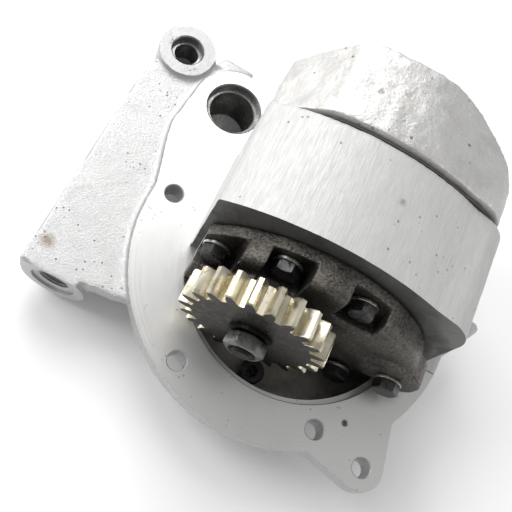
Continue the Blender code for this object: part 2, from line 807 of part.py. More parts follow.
def gear_key():
    made = box(
        "key",
        (SHAFT_X - KEY_WIDTH / 2, key_front(), key_top() - KEY_HEIGHT),
        (SHAFT_X + KEY_WIDTH / 2, key_front() + KEY_LENGTH, key_top()),
    )
    return finished(made, "gear_key", "ground_steel", BRIGHT_STEEL, axis=(SHAFT_X, key_front(), SHAFT_Z))


def hexagon(name, centre, crown, seat, across_flats, turn):
    """A hexagonal block along Y, with the corners of its crown end turned off."""
    x, z = centre
    into = math.copysign(1.0, seat - crown)
    made = cylinder(name, (x, crown, z), (x, seat, z), across_flats / math.sqrt(3), steps=6, turn=turn)
    narrow, wide = across_flats * CROWN_NARROW, across_flats * CROWN_WIDE
    profile = [
        (0, crown - into),
        (narrow, crown - into),
        (wide, crown + into * CROWN_DEPTH),
        (wide, seat + into),
        (0, seat + into),
    ]
    return common(made, turned("crown", centre, profile, MEDIUM_STEPS))


def gear_nut():
    front = nut_back() - NUT_THICKNESS
    made = hexagon("nut", (SHAFT_X, SHAFT_Z), front, nut_back(), NUT_ACROSS_FLATS, NUT_TURN)
    hole = along_shaft("hole", front - OVERRUN, nut_back() + OVERRUN, THREAD_RADIUS + GAP)
    return finished(cut(made, hole), "gear_nut", "bolt_steel", BOLT_STEEL, axis=(SHAFT_X, front, SHAFT_Z))


def gear_lock_washer():
    front = nut_back() + GAP
    made = tube(
        "washer",
        (SHAFT_X, SHAFT_Z),
        THREAD_RADIUS + GAP,
        LOCK_WASHER_RADIUS,
        front,
        front + LOCK_WASHER_THICKNESS,
        MEDIUM_STEPS,
    )
    axis = (SHAFT_X, front, SHAFT_Z)
    return finished(made, "gear_lock_washer", "bright_washer", BRIGHT_STEEL, axis=axis)


def bearings():
    front = bush_front() + GAP
    back = front + FRONT_BUSH_LENGTH
    made = tube("front", (SHAFT_X, SHAFT_Z), JOURNAL_RADIUS + RUNNING_GAP, bush_radius(), front, back)
    finished(made, "front_shaft_bush", "bronze", BRONZE)
    rear = block_front() + BLOCK_INSET
    made = tube(
        "rear",
        (SHAFT_X, SHAFT_Z),
        REAR_JOURNAL_RADIUS + RUNNING_GAP,
        REAR_JOURNAL_RADIUS + RUNNING_GAP + BUSH_WALL,
        rear,
        rear + REAR_BUSH_LENGTH,
    )
    finished(made, "rear_shaft_bush", "bronze", BRONZE)


def shaft_seal():
    inner, outer = JOURNAL_RADIUS + RUNNING_GAP, seal_radius()
    front, back = COVER_HUB_FRONT, seal_back()
    nose_width, nose_depth = SEAL_NOSE
    profile = [
        (inner, front + nose_depth),
        (inner + nose_width, front),
        (outer, front),
        (outer, back),
        (outer - SEAL_SHELL, back),
        (outer - SEAL_SHELL, front + SEAL_WEB),
        (inner + SEAL_LIP_ROOT, front + SEAL_WEB),
        (inner + SEAL_LIP_WALL, back - SEAL_SHELL),
        (inner, back - SEAL_WEB),
    ]
    finished(turned("seal", (SHAFT_X, SHAFT_Z), profile), "shaft_seal", "rubber", RUBBER)


def thrust_race():
    front = bulkhead_back() + GAP
    inner = JOURNAL_RADIUS + THRUST_RACE_CLEARANCE
    outer = inner + THRUST_RACE_WIDTH
    made = tube("race", (SHAFT_X, SHAFT_Z), inner, outer, front, front + THRUST_RACE_THICKNESS)
    finished(made, "thrust_race", "ground_steel", BRIGHT_STEEL)


def wobble_plate():
    """A round plate with one face tilted, which pushes the pistons as it turns."""
    front = wobble_front()
    thick = wobble_middle() + WOBBLE_RADIUS * math.tan(math.radians(WOBBLE_ANGLE)) + OVERRUN
    made = along_shaft("plate", front, thick, WOBBLE_RADIUS)
    slab = box("slab", (SHAFT_X - FAR, 0, SHAFT_Z - FAR), (SHAFT_X + FAR, FAR, SHAFT_Z + FAR))
    middle = place(SHAFT_X, wobble_middle(), SHAFT_Z)
    lower = Matrix.Translation(place(SHAFT_X, 0, SHAFT_Z) * -1)
    tilt = Matrix.Rotation(math.radians(WOBBLE_ANGLE), 4, "X")
    slab.data.transform(Matrix.Translation(middle) @ tilt @ lower)
    hole = along_shaft("hole", front - OVERRUN, FAR, JOURNAL_RADIUS + GAP)
    axis = (SHAFT_X, front, SHAFT_Z)
    return finished(cut(made, slab, hole), "wobble_plate", "ground_steel", BRIGHT_STEEL, axis=axis)


def piston_places():
    for index in range(PISTON_COUNT):
        angle = math.pi / 2 + 2 * math.pi * index / PISTON_COUNT
        x = SHAFT_X + PISTON_CIRCLE * math.cos(angle)
        z = SHAFT_Z + PISTON_CIRCLE * math.sin(angle)
        yield index + 1, x, z


def cylinder_block():
    front, back = block_front(), block_back()
    made = along_shaft("block", front, back, PUMP_BORE_RADIUS - GAP)
    wall = REAR_JOURNAL_RADIUS + RUNNING_GAP + BUSH_WALL + GAP
    made = cut(made, along_shaft("centre", front - OVERRUN, back - BLOCK_END_WALL, wall))
    for _, x, z in piston_places():
        radius = PISTON_RADIUS + GAP
        bore = cylinder("bore", (x, front - OVERRUN, z), (x, bore_end(), z), radius, steps=SMALL_STEPS)
        port = cylinder("port", (x, front, z), (x, back + OVERRUN, z), BLOCK_PORT_RADIUS, steps=PORT_STEPS)
        made = cut(made, bore, port)
    finished(made, "cylinder_block", "ground_steel", BRIGHT_STEEL)


def pistons():
    nose = piston_nose()
    tail = nose + PISTON_LENGTH
    shoulder_radius, shoulder_depth = NOSE_SHOULDER_SHARES
    for index, x, z in piston_places():
        profile = [
            (0, nose),
            (PISTON_RADIUS * NOSE_FLAT_SHARE, nose),
            (PISTON_RADIUS * shoulder_radius, nose + PISTON_NOSE * shoulder_depth),
            (PISTON_RADIUS, nose + PISTON_NOSE),
            (PISTON_RADIUS, tail),
            (PISTON_POCKET_RADIUS, tail),
            (PISTON_POCKET_RADIUS, tail - PISTON_POCKET_DEPTH),
            (0, tail - PISTON_POCKET_DEPTH),
        ]
        made = turned(f"piston {index}", (x, z), profile, SMALL_STEPS)
        finished(made, f"piston_{index}", "ground_steel", BRIGHT_STEEL, axis=(x, nose, z))


def springs():
    """Return springs, each in its piston's pocket and against the end of its bore."""
    first = piston_nose() + PISTON_LENGTH - PISTON_POCKET_DEPTH + SPRING_WIRE_RADIUS + GAP
    last = bore_end() - SPRING_WIRE_RADIUS - GAP
    count = SPRING_TURNS * SPRING_POINTS_A_TURN
    for index, x, z in piston_places():
        curve = bpy.data.curves.new(f"spring {index}", "CURVE")
        curve.dimensions = "3D"
        curve.bevel_depth = mm(SPRING_WIRE_RADIUS)
        curve.bevel_resolution = 0
        curve.use_fill_caps = True
        spline = curve.splines.new("POLY")
        spline.points.add(count)
        for step, point in enumerate(spline.points):
            angle = 2 * math.pi * step / SPRING_POINTS_A_TURN
            along = first + (last - first) * step / count
            at = place(x + SPRING_RADIUS * math.cos(angle), along, z + SPRING_RADIUS * math.sin(angle))
            point.co = (*at, 1.0)
        made = link(f"spring {index}", curve)
        bpy.context.view_layer.update()
        finished(applied(made), f"piston_spring_{index}", "spring_steel", BOLT_STEEL)
    pitch = (last - first) / SPRING_TURNS
    print(f"least gap between spring turns: {pitch - 2 * SPRING_WIRE_RADIUS:.2f} mm")


def valve_plate():
    front = block_back() + GAP
    back = valve_plate_back()
    made = along_shaft("plate", front, back, PUMP_BORE_RADIUS - GAP)
    for _, x, z in piston_places():
        start, end = (x, front - OVERRUN, z), (x, back + OVERRUN, z)
        made = cut(made, cylinder("port", start, end, VALVE_PORT_RADIUS, steps=PORT_STEPS))
    finished(made, "valve_plate", "ground_steel", BRIGHT_STEEL)


def rear_outline(inset):
    left, right = REAR_COVER_LEFT + inset, REAR_COVER_RIGHT - inset
    low = FLANGE_CLEARANCE + inset
    top = arched_top(REAR_CHAMFER_TOP_X + inset, right, ARCH_RADIUS + REAR_COVER_RISE - inset)
    return [(left, low), (right, low), *top, (left, REAR_CHAMFER_FOOT_Z)]


def rear_gasket():
    front = BARREL_BACK + GAP
    made = front_prism("gasket", rear_outline(GASKET_INSET + REAR_COVER_RISE), front, front + GASKET_THICKNESS)
    for x, z in REAR_BOLTS:
        made = cut(made, bolt_hole(x, z, front - OVERRUN, front + OVERRUN))
    hole = along_shaft("hole", front - OVERRUN, front + OVERRUN, PUMP_BORE_RADIUS)
    finished(cut(made, hole), "rear_gasket", "gasket_paper", GASKET_PAPER)


def rear_cover():
    front = BARREL_BACK + GASKET_THICKNESS + 2 * GAP
    made = front_prism("cover", rear_outline(0.0), front, REAR_COVER_BACK)
    rounding = made.modifiers.new("Cast edge", "BEVEL")
    rounding.width = mm(REAR_COVER_BEVEL)
    rounding.segments = 2
    rounding.limit_method = "ANGLE"
    rounding.angle_limit = math.radians(REAR_COVER_BEVEL_ANGLE)
    bpy.context.view_layer.update()
    made = applied(made)
    plan = cylinder("plan", (0, 0, -FAR), (0, 0, FAR), REAR_COVER_PLAN_RADIUS, steps=RIM_STEPS)
    made = common(made, plan)
    made = cut(made, along_shaft("socket", front - OVERRUN, valve_plate_back() + GAP, PUMP_BORE_RADIUS))
    for x, z in REAR_BOLTS:
        start, end = (x, REAR_BOLT_SEAT, z), (x, FAR, z)
        pocket = cylinder("pocket", start, end, REAR_BOLT_POCKET_RADIUS, steps=SMALL_STEPS)
        made = cut(made, bolt_hole(x, z, front - OVERRUN, REAR_BOLT_SEAT + OVERRUN), pocket)
    finished(made, "rear_cover", "rough_aluminium", ROUGH_ALUMINIUM)


def hex_bolt(name, centre, seat, tip, turn):
    """A hexagon bolt along Y, with its head on the far side of the seat from its tip."""
    x, z = centre
    out = math.copysign(1.0, seat - tip)
    under = seat + out * GAP
    head = hexagon(name, centre, under + out * BOLT_HEAD_THICKNESS, under, BOLT_ACROSS_FLATS, turn)
    root = under + out * BOLT_HEAD_THICKNESS / 2
    shank = cylinder("shank", (x, root, z), (x, tip, z), BOLT_SHANK_RADIUS, steps=SMALL_STEPS)
    finished(join(head, shank), name, "bolt_steel", BOLT_STEEL)


def cover_bolts():
    for turn, (letter, (x, z), seat) in zip(BOLT_TURNS, bolt_places()):
        made = tube(
            "washer",
            (x, z),
            BOLT_SHANK_RADIUS + GAP,
            WASHER_RADIUS,
            seat - GAP - WASHER_THICKNESS,
            seat - GAP,
            MEDIUM_STEPS,
        )
        finished(made, f"cover_washer_{letter}", "bright_washer", BRIGHT_STEEL)
        head_seat = seat - GAP - WASHER_THICKNESS
        hex_bolt(f"cover_bolt_{letter}", (x, z), head_seat, bolt_tip(), turn)


def rear_cover_bolts():
    for number, (centre, turn) in enumerate(zip(REAR_BOLTS, REAR_BOLT_TURNS), 1):
        hex_bolt(f"rear_cover_bolt_{number}", centre, REAR_BOLT_SEAT, rear_bolt_end(), turn)


def screw_place():
    """The floor screw's place in plan, kept off the pocket's round wall."""
    return FLOOR_SCREW_X, FLOOR_SCREW_FROM_WALL - POCKET_RADIUS


def floor_screw():
    base = -POCKET_FLOOR + GAP
    top = base + FLOOR_SCREW_HEAD_HEIGHT
    start, end = (*screw_place(), base), (*screw_place(), top)
    head = cylinder("head", start, end, FLOOR_SCREW_HEAD_RADIUS, steps=MEDIUM_STEPS)
    shank = cylinder(
        "shank",
        (*screw_place(), -POCKET_FLOOR - FLOOR_SCREW_SHANK_LENGTH),
        (*screw_place(), base + ROOT),
        FLOOR_SCREW_SHANK_RADIUS,
        steps=SMALL_STEPS,
    )
    socket = cylinder(
        "socket",
        (*screw_place(), top - FLOOR_SCREW_SOCKET_DEPTH),
        (*screw_place(), top + OVERRUN),
        FLOOR_SCREW_SOCKET_RADIUS,
        steps=6,
    )
    made = cut(join(head, shank), socket)
    finished(made, "floor_screw", "bolt_steel", BOLT_STEEL)


def main():
    global parts, cutters
    clear_scene()
    parts = new_collection("axial_piston_pump")
    cutters = new_collection("cutters")
    pump_body()
    front_cover()
    rear_cover()
    rear_gasket()
    drive_shaft()
    drive_gear()
    gear_key()
    gear_lock_washer()
    gear_nut()
    bearings()
    shaft_seal()
    thrust_race()
    wobble_plate()
    cylinder_block()
    pistons()
    springs()
    valve_plate()
    cover_bolts()
    rear_cover_bolts()
    floor_screw()


main()
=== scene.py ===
"""Looks of the axial piston pump: fine forms and their finishes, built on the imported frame."""

import json
import math

import bmesh
import bpy
from bpy.props import FloatProperty, FloatVectorProperty, IntProperty, PointerProperty
from bpy.types import Operator, Panel, PropertyGroup
from mathutils import Matrix, Vector, noise

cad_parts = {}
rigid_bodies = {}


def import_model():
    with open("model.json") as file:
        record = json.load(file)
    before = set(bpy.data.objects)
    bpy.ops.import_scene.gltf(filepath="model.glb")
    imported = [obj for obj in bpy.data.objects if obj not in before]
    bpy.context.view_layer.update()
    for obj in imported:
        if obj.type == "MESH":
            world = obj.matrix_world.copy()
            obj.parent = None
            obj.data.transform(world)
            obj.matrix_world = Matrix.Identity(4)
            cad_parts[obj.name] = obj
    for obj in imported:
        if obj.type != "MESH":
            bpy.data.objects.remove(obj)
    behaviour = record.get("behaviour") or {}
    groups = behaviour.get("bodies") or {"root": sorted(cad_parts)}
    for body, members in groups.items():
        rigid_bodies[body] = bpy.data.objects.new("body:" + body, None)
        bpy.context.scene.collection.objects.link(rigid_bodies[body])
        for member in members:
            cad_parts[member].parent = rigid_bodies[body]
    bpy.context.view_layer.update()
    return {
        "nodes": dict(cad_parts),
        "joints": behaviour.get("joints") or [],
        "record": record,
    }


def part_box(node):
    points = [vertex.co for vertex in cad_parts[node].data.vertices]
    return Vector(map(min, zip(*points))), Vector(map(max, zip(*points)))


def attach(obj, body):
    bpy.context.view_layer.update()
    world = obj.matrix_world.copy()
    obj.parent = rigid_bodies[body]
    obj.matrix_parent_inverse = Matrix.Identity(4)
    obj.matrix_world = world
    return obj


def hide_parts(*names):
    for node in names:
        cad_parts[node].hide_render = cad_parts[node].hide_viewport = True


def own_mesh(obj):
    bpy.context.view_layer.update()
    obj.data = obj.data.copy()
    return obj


bl_info = {
    "name": "Axial piston pump",
    "version": (1, 0, 0),
    "blender": (4, 5, 0),
    "location": "View3D > Sidebar > Pump",
    "description": "Builds the pump's castings, gear, fasteners and springs with their finishes",
    "category": "Object",
}

for left_over in list(bpy.data.objects):
    bpy.data.objects.remove(left_over)
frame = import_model()

MM = 0.001
MOUNTS = {mount["name"]: mount for mount in frame["record"]["mounts"]}
JOINTS = {joint["name"]: joint for joint in frame["joints"]}

# Heights and places that the frame gives, in millimetres from the centre of the flange face
FACE_Z = MOUNTS["flange_face"]["pos_m"][2] / MM
SHAFT_X = JOINTS["shaft_spin"]["pos_m"][0] / MM
SHAFT_Z = JOINTS["shaft_spin"]["pos_m"][2] / MM - FACE_Z

# Steps round a circle
FINE_STEPS = 128
BORE_STEPS = 72
CROWN_STEPS = 60
SCREW_STEPS = 48
BOLT_STEPS = 40

# Steps of the arcs in an outline
ROUND_STEPS = 48
ARCH_STEPS = 40
EAR_STEPS = 20
SHOULDER_STEPS = 16
LUG_STEPS = 12
CORNER_STEPS = 8

# How far shapes lap over one another, and how far tools run past what they cut
LAP = 1.0
RUN_OUT = 2.0
OVERRUN = 5.0
THROUGH = 80.0
PLAN_HEIGHTS = (-60.0, 140.0)

# How near points have to lie to count as one, or as on a plane
WELD = 0.002
PLANE_TOLERANCE = 0.01

# Which way a form turned about Y looks when it is stood on the flange face
LOOKS_UP = math.pi / 2
LOOKS_DOWN = -math.pi / 2

# Mounting flange
FLANGE_RADIUS = 105.0
FLANGE_THICKNESS = 15.0
PLANING = 0.9
LIP_EXCESS = 3.0
FOOT_FILLET = 0.5
HOLE_RADIUS = 5.75
HOLE_CIRCLE = 92.5
HOLE_ANGLES = (173.0, 241.4, 300.0)
HOLE_CHAMFER = 0.7
EAR_HOLE = (81.0, -87.8)
EAR_RADIUS = 14.0
EAR_ROOT_RADIUS = 40.0
EAR_ROOT_SHARE = 0.6
LUG_CORNER = (121.0, 31.0)
LUG_ROOT = (90.75, 12.4)
LUG_RADIUS = 4.0
LUG_ROOT_RADIUS = 20.0
LUG_THICKNESS = 9.0
SPOT_HOLE = (61.8, -68.2)
SPOT_HOLE_RADIUS = 1.6
SPOT_HOLE_DEPTH = 4.0

# Dished back and the pocket that the gear dips into
DISH_RADIUS = 84.0
DISH_FOOT_RADIUS = 80.0
POCKET_X = 5.0
POCKET_RADIUS = 72.0
POCKET_STEP_RADIUS = 75.5
POCKET_STEP_DEPTH = 6.0
POCKET_FLOOR = 37.0
POCKET_LEFT = -63.0
POCKET_CORNER = 2.0
POCKET_CHAMFER = 0.5
POCKET_RUN_OUT = 3.0
POCKET_TOOL_TOP = 6.0

# Arched barrel
ARCH_RADIUS = 142.0
ARCH_AXIS = (3.0, -47.0)
BARREL_LEFT = -68.0
BARREL_RIGHT = 91.0
BARREL_FRONT = -14.0
BARREL_BACK = 55.0
BARREL_SHOULDER = 26.0
BARREL_PLAN_RADIUS = 106.5
BULKHEAD_BACK = 2.0
BARREL_STAIN = (18.9, 26.9, 94.0)
PUMP_BORE_RADIUS = 37.0
SHAFT_WAY_RADIUS = 9.6

# Manifold arm, its bosses and the suction port
ARM_DROP = 4.0
ARM_THICKNESS = 12.0
ARM_LEFT = -152.0
ARM_FRONT = -69.0
ARM_FOOT_RIGHT = -92.0
ARM_FOOT_RISE = 6.0
ARM_FOOT_STEP = (20.0, 12.0)
ARM_WEB_TOP = 96.0
ARM_BOSS_LEFT_SHARE = 0.8
ARM_BOSS_RIGHT_SHARE = 0.7
ARM_WAIST = 70.0
ARM_WAIST_INSET = 4.0
ARM_STAIN = (-143.0, -52.0, -ARM_DROP)
TOP_BOSS = (-129.0, 107.0)
TOP_BOSS_RADIUS = 19.0
TOP_BOSS_DEPTH = 30.0
TOP_BOSS_SHADE = 0.9
TOP_BORE = (7.6, 22.0)
TOP_COUNTERBORE = (10.3, 5.0)
OUTLET_X = -130.0
OUTLET_DROP = 19.0
OUTLET_RADIUS = 21.0
OUTLET_LENGTH = 42.0
OUTLET_BORE_RADIUS = 9.5
OUTLET_BORE_DEPTH = 30.0
OUTLET_SPOTFACE_RADIUS = 14.0
OUTLET_SPOTFACE_DEPTH = 1.5
OUTLET_THREAD_LEAD = 1.0
OUTLET_THREAD_LENGTH = 21.0
OUTLET_RUN_OUT = 8.0
OUTLET_POINT = 3.0
THREAD_PITCH = 1.8
THREAD_DEPTH = 1.0
THREAD_RELIEF = 0.6
SUCTION_PORT = (-84.4, 84.9)
SUCTION_LAND_RADIUS = 27.0
SUCTION_BOSS_RADIUS = 25.0
SUCTION_BOSS_FLOOR = 6.0
SUCTION_BORE = (14.6, 36.0)
SUCTION_COUNTERBORE = (17.6, 5.0)
SUCTION_PASSAGE = (5.0, 41.0)
PORT_CHAMFER = 0.8
PORT_TOOL_TOP = 30.0
COUNTERBORE_EASE = 0.5
DRILL_POINT = 0.3
ROUGH_CORNER = (-101.0, 114.0)
ROUGH_CORNER_RADIUS = 5.0
ROUGH_CORNER_SWEEP = (30.0, 150.0)
LAND_WEB = ((-110.5, 94.0), (-114.7, 56.0), (-113.0, 45.0), (-104.5, 12.0), (-80.0, 20.0), (-75.0, 90.0))
FIN = ((-108.0, 109.0), (-104.0, 117.4), (-95.0, 117.6), (-83.0, 117.2), (-83.0, 114.5), (-95.0, 108.0))
FIN_DROP = 2.0

# Iron front cover
COVER_ARCH_RADIUS = 82.6
COVER_AXIS = (4.6, -0.8)
COVER_FRONT = -34.0
COVER_BACK = -14.3
COVER_LEFT = -64.0
COVER_RIGHT = 84.0
COVER_FOOT = (-54.0, 58.0)
COVER_FOOT_DROP = 34.0
COVER_FOOT_TOP = 17.0
COVER_FOOT_INSET = 0.3
COVER_ROOT = 5.0
COVER_LOW = 1.0
COVER_ROUNDING = 5.0
COVER_ROUNDING_STEPS = 5
COVER_HOLE_ENDS = (-70.0, 0.0)
COVER_TOOL_FRONT = -60.0
HUB_RADIUS = 24.0
HUB_DRAFT = 2.0
HUB_FRONT = -42.0
LOBE_CENTRE = (71.0, 15.0)
LOBE_RADIUS = 20.0
LOBE_SWEEP = (-44.0, 224.0)
LOBE_FRONT = -36.0
NOTCH_SEAT = -22.0
NOTCH_WIDTH = 24.0
NOTCH_FLOOR = 9.5
NOTCH_RISE = 36.0
NOTCH_RUN_OUT = 14.0
NOTCH_MOUTH = 2.0
NOTCH_SKIN = 0.6
NOTCH_LETTERS = "abc"
# Share of the iron's colour in the bolt notches: painted shade of the deep notches, with oil
NOTCH_SHADE = 0.3
BUSH_POCKET = (11.85, -30.9)
SEAL_POCKET = (13.25, -35.7)

# Rough rear cover, its rounding as (width, steps, least angle in degrees)
REAR_FRONT = 56.6
REAR_BACK = 110.0
REAR_RISE = 3.5
REAR_PLAN_RADIUS = 113.0
REAR_LEFT = -66.0
REAR_RIGHT = 84.0
REAR_CHAMFER_TOP_X = -36.0
REAR_CHAMFER_FOOT_Z = 68.0
REAR_ROUNDING = (5.0, 4, 30.0)
REAR_SOCKET_BACK = 79.24
REAR_BOLT_SEAT = 83.0
REAR_HOLE_BACK = 130.0
REAR_POCKET_BACK = 150.0
REAR_POCKET_RADIUS = 9.4
SHANK_HOLE_RADIUS = 5.0

# Boxes that the mill clears or spares, by their low and high corners
MILL_CUT = ((ARM_LEFT - 10.0, -120.0, 0.0), (LUG_CORNER[0] + 20.0, 140.0, 6.0))
MILL_KEEP = (
    (BARREL_LEFT - FOOT_FILLET, BARREL_FRONT, -2.0),
    (BARREL_RIGHT + 20.0, BARREL_BACK + FOOT_FILLET, 8.0),
)
LIP_CUT = ((-100.0, -60.0, 0.0), (130.0, BARREL_FRONT, 120.0))
OUTLET_FACE_CUT = ((ARM_LEFT - 10.0, -100.0, -60.0), (ARM_FOOT_RIGHT - 12.0, ARM_FRONT, 20.0))
BASE_CUT = ((-130.0, -130.0, -80.0), (130.0, 130.0, -FACE_Z))
POCKET_SIDE = ((POCKET_LEFT, -120.0, -60.0), (140.0, BARREL_FRONT, 20.0))
REAR_FACE_CUT = ((-120.0, 0.0, -60.0), (120.0, REAR_FRONT, 140.0))

# Where one finish of a piece ends and the next begins
SEAM = 0.05
FACE_SEAM = 0.06
FACE_MARGIN = 0.3
STEP_DROP = 0.2
CHAMFER_REACH = 0.9
PORT_SKIN = 1.5

# How squarely a face has to look one way to count as facing it, as its normal's share
FACING = 0.9
FACING_FRONT = 0.95
FACING_UP = 0.98

# Most outward and least upward share of a normal in the gear pocket
POCKET_OUTWARD = 0.2
POCKET_UPWARD = -0.3

# Gear
GEAR_TEETH = 22
GEAR_MODULE = 3.65
GEAR_PRESSURE_ANGLE = 20.0
GEAR_BORE_RADIUS = 7.9
GEAR_CHAMFER = 0.7
GEAR_DEDENDUM = 1.25
GEAR_ROOT_SPREAD = 0.012
ROOT_MARGIN = 0.5
BORE_CHAMFER_SHARE = 0.6
SECTOR_MERGE = 0.004
FLANK_POINTS = 7
TIP_POINTS = 3
KEYWAY_HALF_WIDTH = 2.3
KEYWAY_TOP = 9.9

# Fasteners, their broken edges as (width, steps, least angle in degrees)
BOLT_ACROSS_FLATS = 14.3
BOLT_HEAD_THICKNESS = 6.3
BOLT_SHANK_RADIUS = 4.7
BOLT_SHANK_LENGTH = 21.0
BOLT_EDGE = (0.25, 2, 25.0)
BOLT_FIRST_TURN = -0.3
BOLT_NEXT_TURN = -0.5
WASHER_HOLE_RADIUS = 5.0
WASHER_RADIUS = 8.6
WASHER_THICKNESS = 1.8
WASHER_EDGE = 0.3
NUT_ACROSS_FLATS = 21.0
NUT_EDGE = (0.3, 2, 25.0)
NUT_TURN = 0.4
NUT_SINK_RADIUS = 8.4
CROWN_NARROW = 0.45
CROWN_WIDE = 0.59
CROWN_SLOPE = 0.6
END_CHAMFER = 1.0
SCREW_SHANK_RADIUS = 4.5
SCREW_GAP = 0.3
SCREW_EDGE = 0.3
SCREW_CROWN = 0.9
SOCKET_RADIUS = 4.0
SOCKET_DEPTH = 5.0

# Shaft
THREAD_RADIUS = 6.5
SHAFT_POINT = 1.4
SHAFT_THREAD_DEPTH = 0.9
SHAFT_THREAD_LEAD = 0.6
SHAFT_THREAD_END = 0.4
SHAFT_PLAY = 0.3
BUSH_WALL = 3.15
JOURNAL_SLOPE = 3.0
TAIL_LEAD = 2.0

# Springs
COIL_STEPS = 24
WIRE_STEPS = 8
WIRE_MERGE = 0.001

# Skin of the castings: voxels, softening and its rounds, and waves of (height, size)
CASTING_VOXEL = 1.5
IRON_VOXEL = 1.0
REAR_VOXEL = 1.1
CASTING_ROUNDS = 5
SOFTENING = 0.5
IRON_FIRST_ROUNDS = 1
CASTING_WAVES = ((0.12, 3.0), (0.2, 14.0))
IRON_WAVES = ((0.12, 2.2), (0.25, 11.0))
REAR_WAVES = ((0.16, 2.5), (0.45, 9.0), (0.6, 28.0))

# Angles in degrees above which an edge is shown sharp
CAST_SHARP = 32.0
SMALL_SHARP = 28.0
WIRE_SHARP = 60.0

# The photograph's camera, worked out from the flange, the gear and the ports
CAMERA_PLACE = (-77.6, -197.8, 505.0)
CAMERA_RIGHT = (0.8778, 0.3995, 0.2643)
CAMERA_UP = (-0.4693, 0.8278, 0.3075)
CAMERA_BACK = (-0.0959, -0.3940, 0.9141)
CAMERA_LENS = 57.24
CAMERA_SENSOR = 36.0
CAMERA_CLIP = (0.01, 20.0)

# Stage: the floor and the lamps' target in millimetres, each lamp's place and width in metres
FLOOR_REACH = 3000.0
FLOOR_THICKNESS = 20.0
FLOOR_ROUGHNESS = 0.55
LAMP_TARGET = (0.0, 0.0, 20.0)
KEY_LAMP = ((-0.55, 0.8, 0.95), 1.0)
LEFT_LAMP = ((-0.95, 0.0, 0.8), 0.6)
RIGHT_LAMP = ((0.95, 0.15, 0.6), 0.5)


def at(x, y, z):
    """A point given from the centre of the flange face in millimetres, in the frame's metres."""
    return Vector((x * MM, y * MM, (z + FACE_Z) * MM))


def from_face(point):
    """A point of the frame in millimetres from the centre of the flange face."""
    return Vector((point[0] / MM, point[1] / MM, point[2] / MM - FACE_Z))


def node_box(name):
    """Lowest and highest corner of a CAD node, in millimetres from the centre of the flange face."""
    low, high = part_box(name)
    return from_face(low), from_face(high)


def arc(centre, radius, start, end, steps):
    """Points on a circle from one angle to another, in degrees."""
    angles = (math.radians(start + (end - start) * i / steps) for i in range(steps + 1))
    return [(centre[0] + radius * math.cos(a), centre[1] + radius * math.sin(a)) for a in angles]


def tangent_hull(first, first_radius, second, second_radius, steps):
    """The outline of two circles and the straight lines that touch both."""
    dx, dy = second[0] - first[0], second[1] - first[1]
    heading = math.degrees(math.atan2(dy, dx))
    spread = math.degrees(math.acos((first_radius - second_radius) / math.hypot(dx, dy)))
    far = arc(second, second_radius, heading - spread, heading + spread, steps)
    return far + arc(first, first_radius, heading + spread, heading + 360.0 - spread, steps)


def add_cylinder(work, start, end, radius, end_radius=None, steps=FINE_STEPS):
    """A cylinder or cone between two points."""
    first, last = at(*start), at(*end)
    axis = last - first
    aim = axis.to_track_quat("Z", "Y").to_matrix().to_4x4()
    bmesh.ops.create_cone(
        work,
        cap_ends=True,
        segments=steps,
        radius1=radius * MM,
        radius2=(radius if end_radius is None else end_radius) * MM,
        depth=axis.length,
        matrix=Matrix.Translation((first + last) / 2) @ aim,
    )


def add_box(work, low, high):
    """A box between its low and its high corner."""
    first, last = at(*low), at(*high)
    size = Matrix.Diagonal((*(last - first), 1.0))
    bmesh.ops.create_cube(work, size=1.0, matrix=Matrix.Translation((first + last) / 2) @ size)


def add_prism(work, corners, along):
    """A closed outline of points in millimetres, swept by a vector in millimetres."""
    face = work.faces.new([work.verts.new(at(*corner)) for corner in corners])
    swept = bmesh.ops.extrude_face_region(work, geom=[face], use_keep_orig=True)["geom"]
    moved = [item for item in swept if isinstance(item, bmesh.types.BMVert)]
    bmesh.ops.translate(work, verts=moved, vec=Vector(along) * MM)


def add_plan_prism(work, points, low, high):
    """An outline of (x, y) points, swept up from low to high."""
    add_prism(work, [(x, y, low) for x, y in points], (0, 0, high - low))


def add_front_prism(work, points, front, back):
    """An outline of (x, z) points, swept from front to back."""
    add_prism(work, [(x, front, z) for x, z in points], (0, back - front, 0))


def add_turned(work, profile, centre, steps=BORE_STEPS):
    """A closed profile of (radius, y) turned about a line along Y through centre (x, z)."""
    x, z = centre
    points = [work.verts.new(at(x + radius, y, z)) for radius, y in profile]
    edges = [work.edges.new(pair) for pair in zip(points, points[1:] + points[:1])]
    bmesh.ops.spin(
        work,
        geom=points + edges,
        cent=at(x, 0, z),
        axis=(0, 1, 0),
        angle=2 * math.pi,
        steps=steps,
        use_merge=True,
    )


def linked(name, data):
    """A new object in the scene."""
    made = bpy.data.objects.new(name, data)
    bpy.context.scene.collection.objects.link(made)
    return made


def made_object(name, work):
    """Closes up what was drawn and makes it an object."""
    bmesh.ops.remove_doubles(work, verts=work.verts, dist=WELD * MM)
    bmesh.ops.recalc_face_normals(work, faces=work.faces)
    mesh = bpy.data.meshes.new(name)
    work.to_mesh(mesh)
    work.free()
    return linked(name, mesh)


def shape(name, adder, *values, **options):
    """An object of one shape, drawn by one of the functions above."""
    work = bmesh.new()
    adder(work, *values, **options)
    return made_object(name, work)


def upright(x, y, turn):
    """The move that stands a form turned about Y on the flange face at (x, y), by its turn about X."""
    return Matrix.Translation(at(x, y, 0)) @ Matrix.Rotation(turn, 4, "X")


def turned_form(name, profile, steps, move=Matrix.Identity(4)):
    """A closed profile of (radius, y) turned about the frame's own Y axis, then moved."""
    work = bmesh.new()
    add_turned(work, profile, (0, 0), steps)
    work.transform(move @ Matrix.Translation(-at(0, 0, 0)))
    return made_object(name, work)


